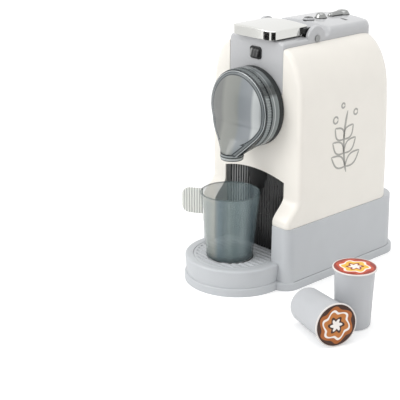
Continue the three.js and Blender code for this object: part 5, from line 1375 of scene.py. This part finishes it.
def ribbon(path, width):
    # a thin flat strip along a path on the machine's side; its points are (y, z), and it narrows at
    # both ends with the root of a sine
    tangent = np.gradient(path, axis=0)
    tangent /= np.linalg.norm(tangent, axis=1)[:, None]
    across = np.stack([-tangent[:, 1], tangent[:, 0]], -1)
    swell = np.sin(np.linspace(0, math.pi, len(path))) * ink["taper"]
    taper = np.sqrt(np.clip(swell, ink["least"], 1))[:, None]
    left, right = path + across * width / 2 * taper, path - across * width / 2 * taper
    corners = [(left, ink["low"]), (left, ink["high"]), (right, ink["high"]), (right, ink["low"])]
    ring = [np.stack([bodyHalf(p[:, 1]) + lift, p[:, 0], p[:, 1]], -1) for p, lift in corners]
    return gridMesh(np.stack(ring, 1))


motif = {"y": 20.5, "z": 117.0, "stem": 27.0, "bow": 4.0, "stemLine": 2.25, "line": 1.5,
         "leaf": 21.0, "leafWide": 6.0, "leafTurn": 58.0, "turnLess": 6.0, "leafLess": 0.12, "tipSlim": 0.35,
         "leafSteps": 30, "stemSteps": 50, "ringSteps": 40, "pairs": 3, "firstRoot": 5, "rootStep": 11,
         "rings": [(-13, 21, 2.8), (12, 24, 2.4), (-4, 32, 2.0)]}


def leafSide(root, pair, side, bulge):
    # half an open leaf: a sine bulge that grows slimmer to the tip, leaning out from the stem
    m = motif
    t = np.linspace(0, 1, m["leafSteps"])
    lean = math.radians(90 - side * (m["leafTurn"] - m["turnLess"] * pair))
    along = m["leaf"] * (1 - m["leafLess"] * pair) * t
    off = bulge * m["leafWide"] * np.sin(math.pi * t) * (1 - m["tipSlim"] * t)
    y = root[0] + along * math.cos(lean) - off * math.sin(lean)
    z = root[1] + along * math.sin(lean) + off * math.cos(lean)
    return ribbon(np.stack([y, z], -1), m["line"])


def sprigMotif():
    # a stem bowed as a parabola, with pairs of open leaves and three small rings above it
    m = motif
    share = np.linspace(-1, 1, m["stemSteps"])
    stalk = np.stack([m["y"] + m["bow"] * (share**2 - 0.5), m["z"] + m["stem"] * share], -1)
    shapes = [ribbon(stalk, m["stemLine"])]
    for pair in range(m["pairs"]):
        root = stalk[m["firstRoot"] + m["rootStep"] * pair]
        shapes += [leafSide(root, pair, side, bulge) for side in (-1, 1) for bulge in (-1, 1)]
    turn = np.linspace(0, 2 * math.pi, m["ringSteps"])
    for offset, height, radius in m["rings"]:
        y, z = m["y"] + offset + radius * np.cos(turn), m["z"] + height + radius * np.sin(turn)
        shapes.append(ribbon(np.stack([y, z], -1), m["line"]))
    return shapes


dash = {"start": 53.5, "end": 56.5, "lift": 0.05, "thick": 0.2, "rows": 5, "columns": slice(11, 14)}


def deckDash():
    # a small patch of the spine's own surface, lifted a little and given a thickness
    places = np.linspace(dash["start"], dash["end"], dash["rows"])
    upper = spineSections(places, -dash["lift"], 0)[:, dash["columns"]]
    lower = upper - [0, 0, dash["thick"]]
    return gridMesh(np.concatenate([upper, lower[:, ::-1]], 1))


makePiece("sideMotif", sprigMotif(), "print", "machine")
makePiece("deckDash", [deckDash()], "button", "machine")

# CAD nodes that stay

stays = {
    "plated": ["lever_pin_left", "lever_pin_right"],
    "steel": ["battery_contact_left", "battery_contact_right", "power_spring", "brew_spring",
              "battery_door_screw"]
    + [f"{place}_screw_{number}" for place in ("base", "rear", "tank") for number in range(1, 5)],
    "grey": ["base_cover", "battery_door", "capsule_holder", "lamp_plate"],
    "cream": ["rear_panel"],
    "black": ["speaker"],
    "drum": ["tank_lamp"],
    "board": ["control_board"],
    "cell": ["cell_1", "cell_2", "cell_3"],
}
for look, names in stays.items():
    for name in names:
        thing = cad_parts[name]
        for slotItem in thing.material_slots:
            slotItem.material = finish[look]
print("materials given to the nodes that stay")

# Floor, light and camera

light = {"sky": 0.77, "key": 17.5, "keySize": 1.2, "keyPlace": (-0.8, -1.6, 1.3), "top": 10.5, "topSize": 1.6,
         "topPlace": (0.3, 0.2, 2.0), "aim": (0, 0, 0.1), "floorLift": 0.25, "floorReach": 4000.0,
         "floorCloud": 3.0, "floorTints": [(0.3, (243, 243, 243)), (0.7, (246, 246, 246))]}


def whiteWhenSeen(nodes, glossy=True):
    # 1 for rays from the camera, through glass and, for the background, from glossy surfaces
    path = nodes.add("ShaderNodeLightPath")
    seen = nodes.mathNode("MAXIMUM", path.outputs["Is Camera Ray"], path.outputs["Is Transmission Ray"])
    return nodes.mathNode("MAXIMUM", seen, path.outputs["Is Glossy Ray"]) if glossy else seen


def stageSheet(name, rows):
    # an open sheet of the set from rows of points, with an empty material
    thing = bpy.data.objects.new(name, meshOf(name, [gridMesh(rows, closeColumns=False, caps=False)], False))
    bpy.context.scene.collection.objects.link(thing)
    material, n, place = newLook(name)
    thing.data.materials.append(material)
    return thing, n, place


def makeFloor():
    # a large pale sheet that takes shadows, and glows a little for the camera alone
    size = light["floorReach"]
    rows = np.array([[[x, y, 0] for x in (-size, size)] for y in (-size, size)], float)
    thing, n, place = stageSheet("floor", rows)
    cloud = n.add("ShaderNodeTexNoise", Vector=place, Scale=light["floorCloud"])
    pale = n.tints(cloud.outputs["Fac"], light["floorTints"])
    diffuse = n.add("ShaderNodeBsdfDiffuse", Color=pale)
    lift = n.mathNode("MULTIPLY", whiteWhenSeen(n, False), light["floorLift"])
    glow = n.add("ShaderNodeEmission", Strength=lift)
    both = n.add("ShaderNodeAddShader")
    n.feed(both, 0, diffuse.outputs[0])
    n.feed(both, 1, glow.outputs[0])
    n.close(both)


def makeWorld():
    # an even sky that is plain white wherever it is seen
    world = bpy.data.worlds.new("studio")
    bpy.context.scene.world = world
    n = Nodes(world)
    strength = n.mathNode("MULTIPLY", whiteWhenSeen(n), 1 - light["sky"])
    strength = n.mathNode("ADD", strength, light["sky"])
    n.close(n.add("ShaderNodeBackground", Color=(1, 1, 1, 1), Strength=strength), "ShaderNodeOutputWorld")


def makeLamp(name, place, aim, power, size):
    # a square lamp that looks at a point
    lamp = bpy.data.lights.new(name, "AREA")
    lamp.energy, lamp.size = power, size
    thing = bpy.data.objects.new(name, lamp)
    thing.location = place
    thing.rotation_mode = "QUATERNION"
    thing.rotation_quaternion = (Vector(aim) - Vector(place)).to_track_quat("-Z", "Y")
    bpy.context.scene.collection.objects.link(thing)


camera = {"lens": 102.57, "sensor": 36.0, "place": (0.6448, -0.6866, 0.3955),
          "forward": (-0.6941, 0.6347, -0.3397), "near": 0.02, "far": 20.0}


def makeCamera():
    # the photograph's place and direction, level along its lower edge
    data = bpy.data.cameras.new("camera")
    data.lens, data.sensor_width = camera["lens"], camera["sensor"]
    data.clip_start, data.clip_end = camera["near"], camera["far"]
    thing = bpy.data.objects.new("camera", data)
    thing.location = camera["place"]
    thing.rotation_mode = "QUATERNION"
    thing.rotation_quaternion = Vector(camera["forward"]).to_track_quat("-Z", "Y")
    bpy.context.scene.collection.objects.link(thing)
    bpy.context.scene.camera = thing


cards = {"distance": 380.0, "middle": (20.0, -30.0), "low": 1.0, "high": 150.0,
         "list": [("darkCardA", -41, 18, 0.01), ("darkCardB", 54, 120, 0.01), ("greyCard", -75, -44, 0.84)]}


def makeCard(name, start, end, strength):
    # a curved card on a circle round the lever's corner; only shiny surfaces see it
    c = cards
    angle = np.radians(np.linspace(start, end, 24))
    x = c["middle"][0] + c["distance"] * np.sin(angle)
    y = c["middle"][1] - c["distance"] * np.cos(angle)
    rows = np.stack([np.stack([x, y, np.full_like(x, z)], -1) for z in (c["low"], c["high"])])
    thing, n, _ = stageSheet(name, rows)
    n.close(n.add("ShaderNodeEmission", Strength=strength))
    for ray in ("camera", "diffuse", "shadow", "transmission", "volume_scatter"):
        setattr(thing, "visible_" + ray, False)


for card in cards["list"]:
    makeCard(*card)
makeFloor()
makeWorld()
makeLamp("key", light["keyPlace"], light["aim"], light["key"], light["keySize"])
makeLamp("overhead", light["topPlace"], light["aim"], light["top"], light["topSize"])
makeCamera()
bpy.context.scene.view_settings.view_transform = "Standard"
print("stage, light and camera set")
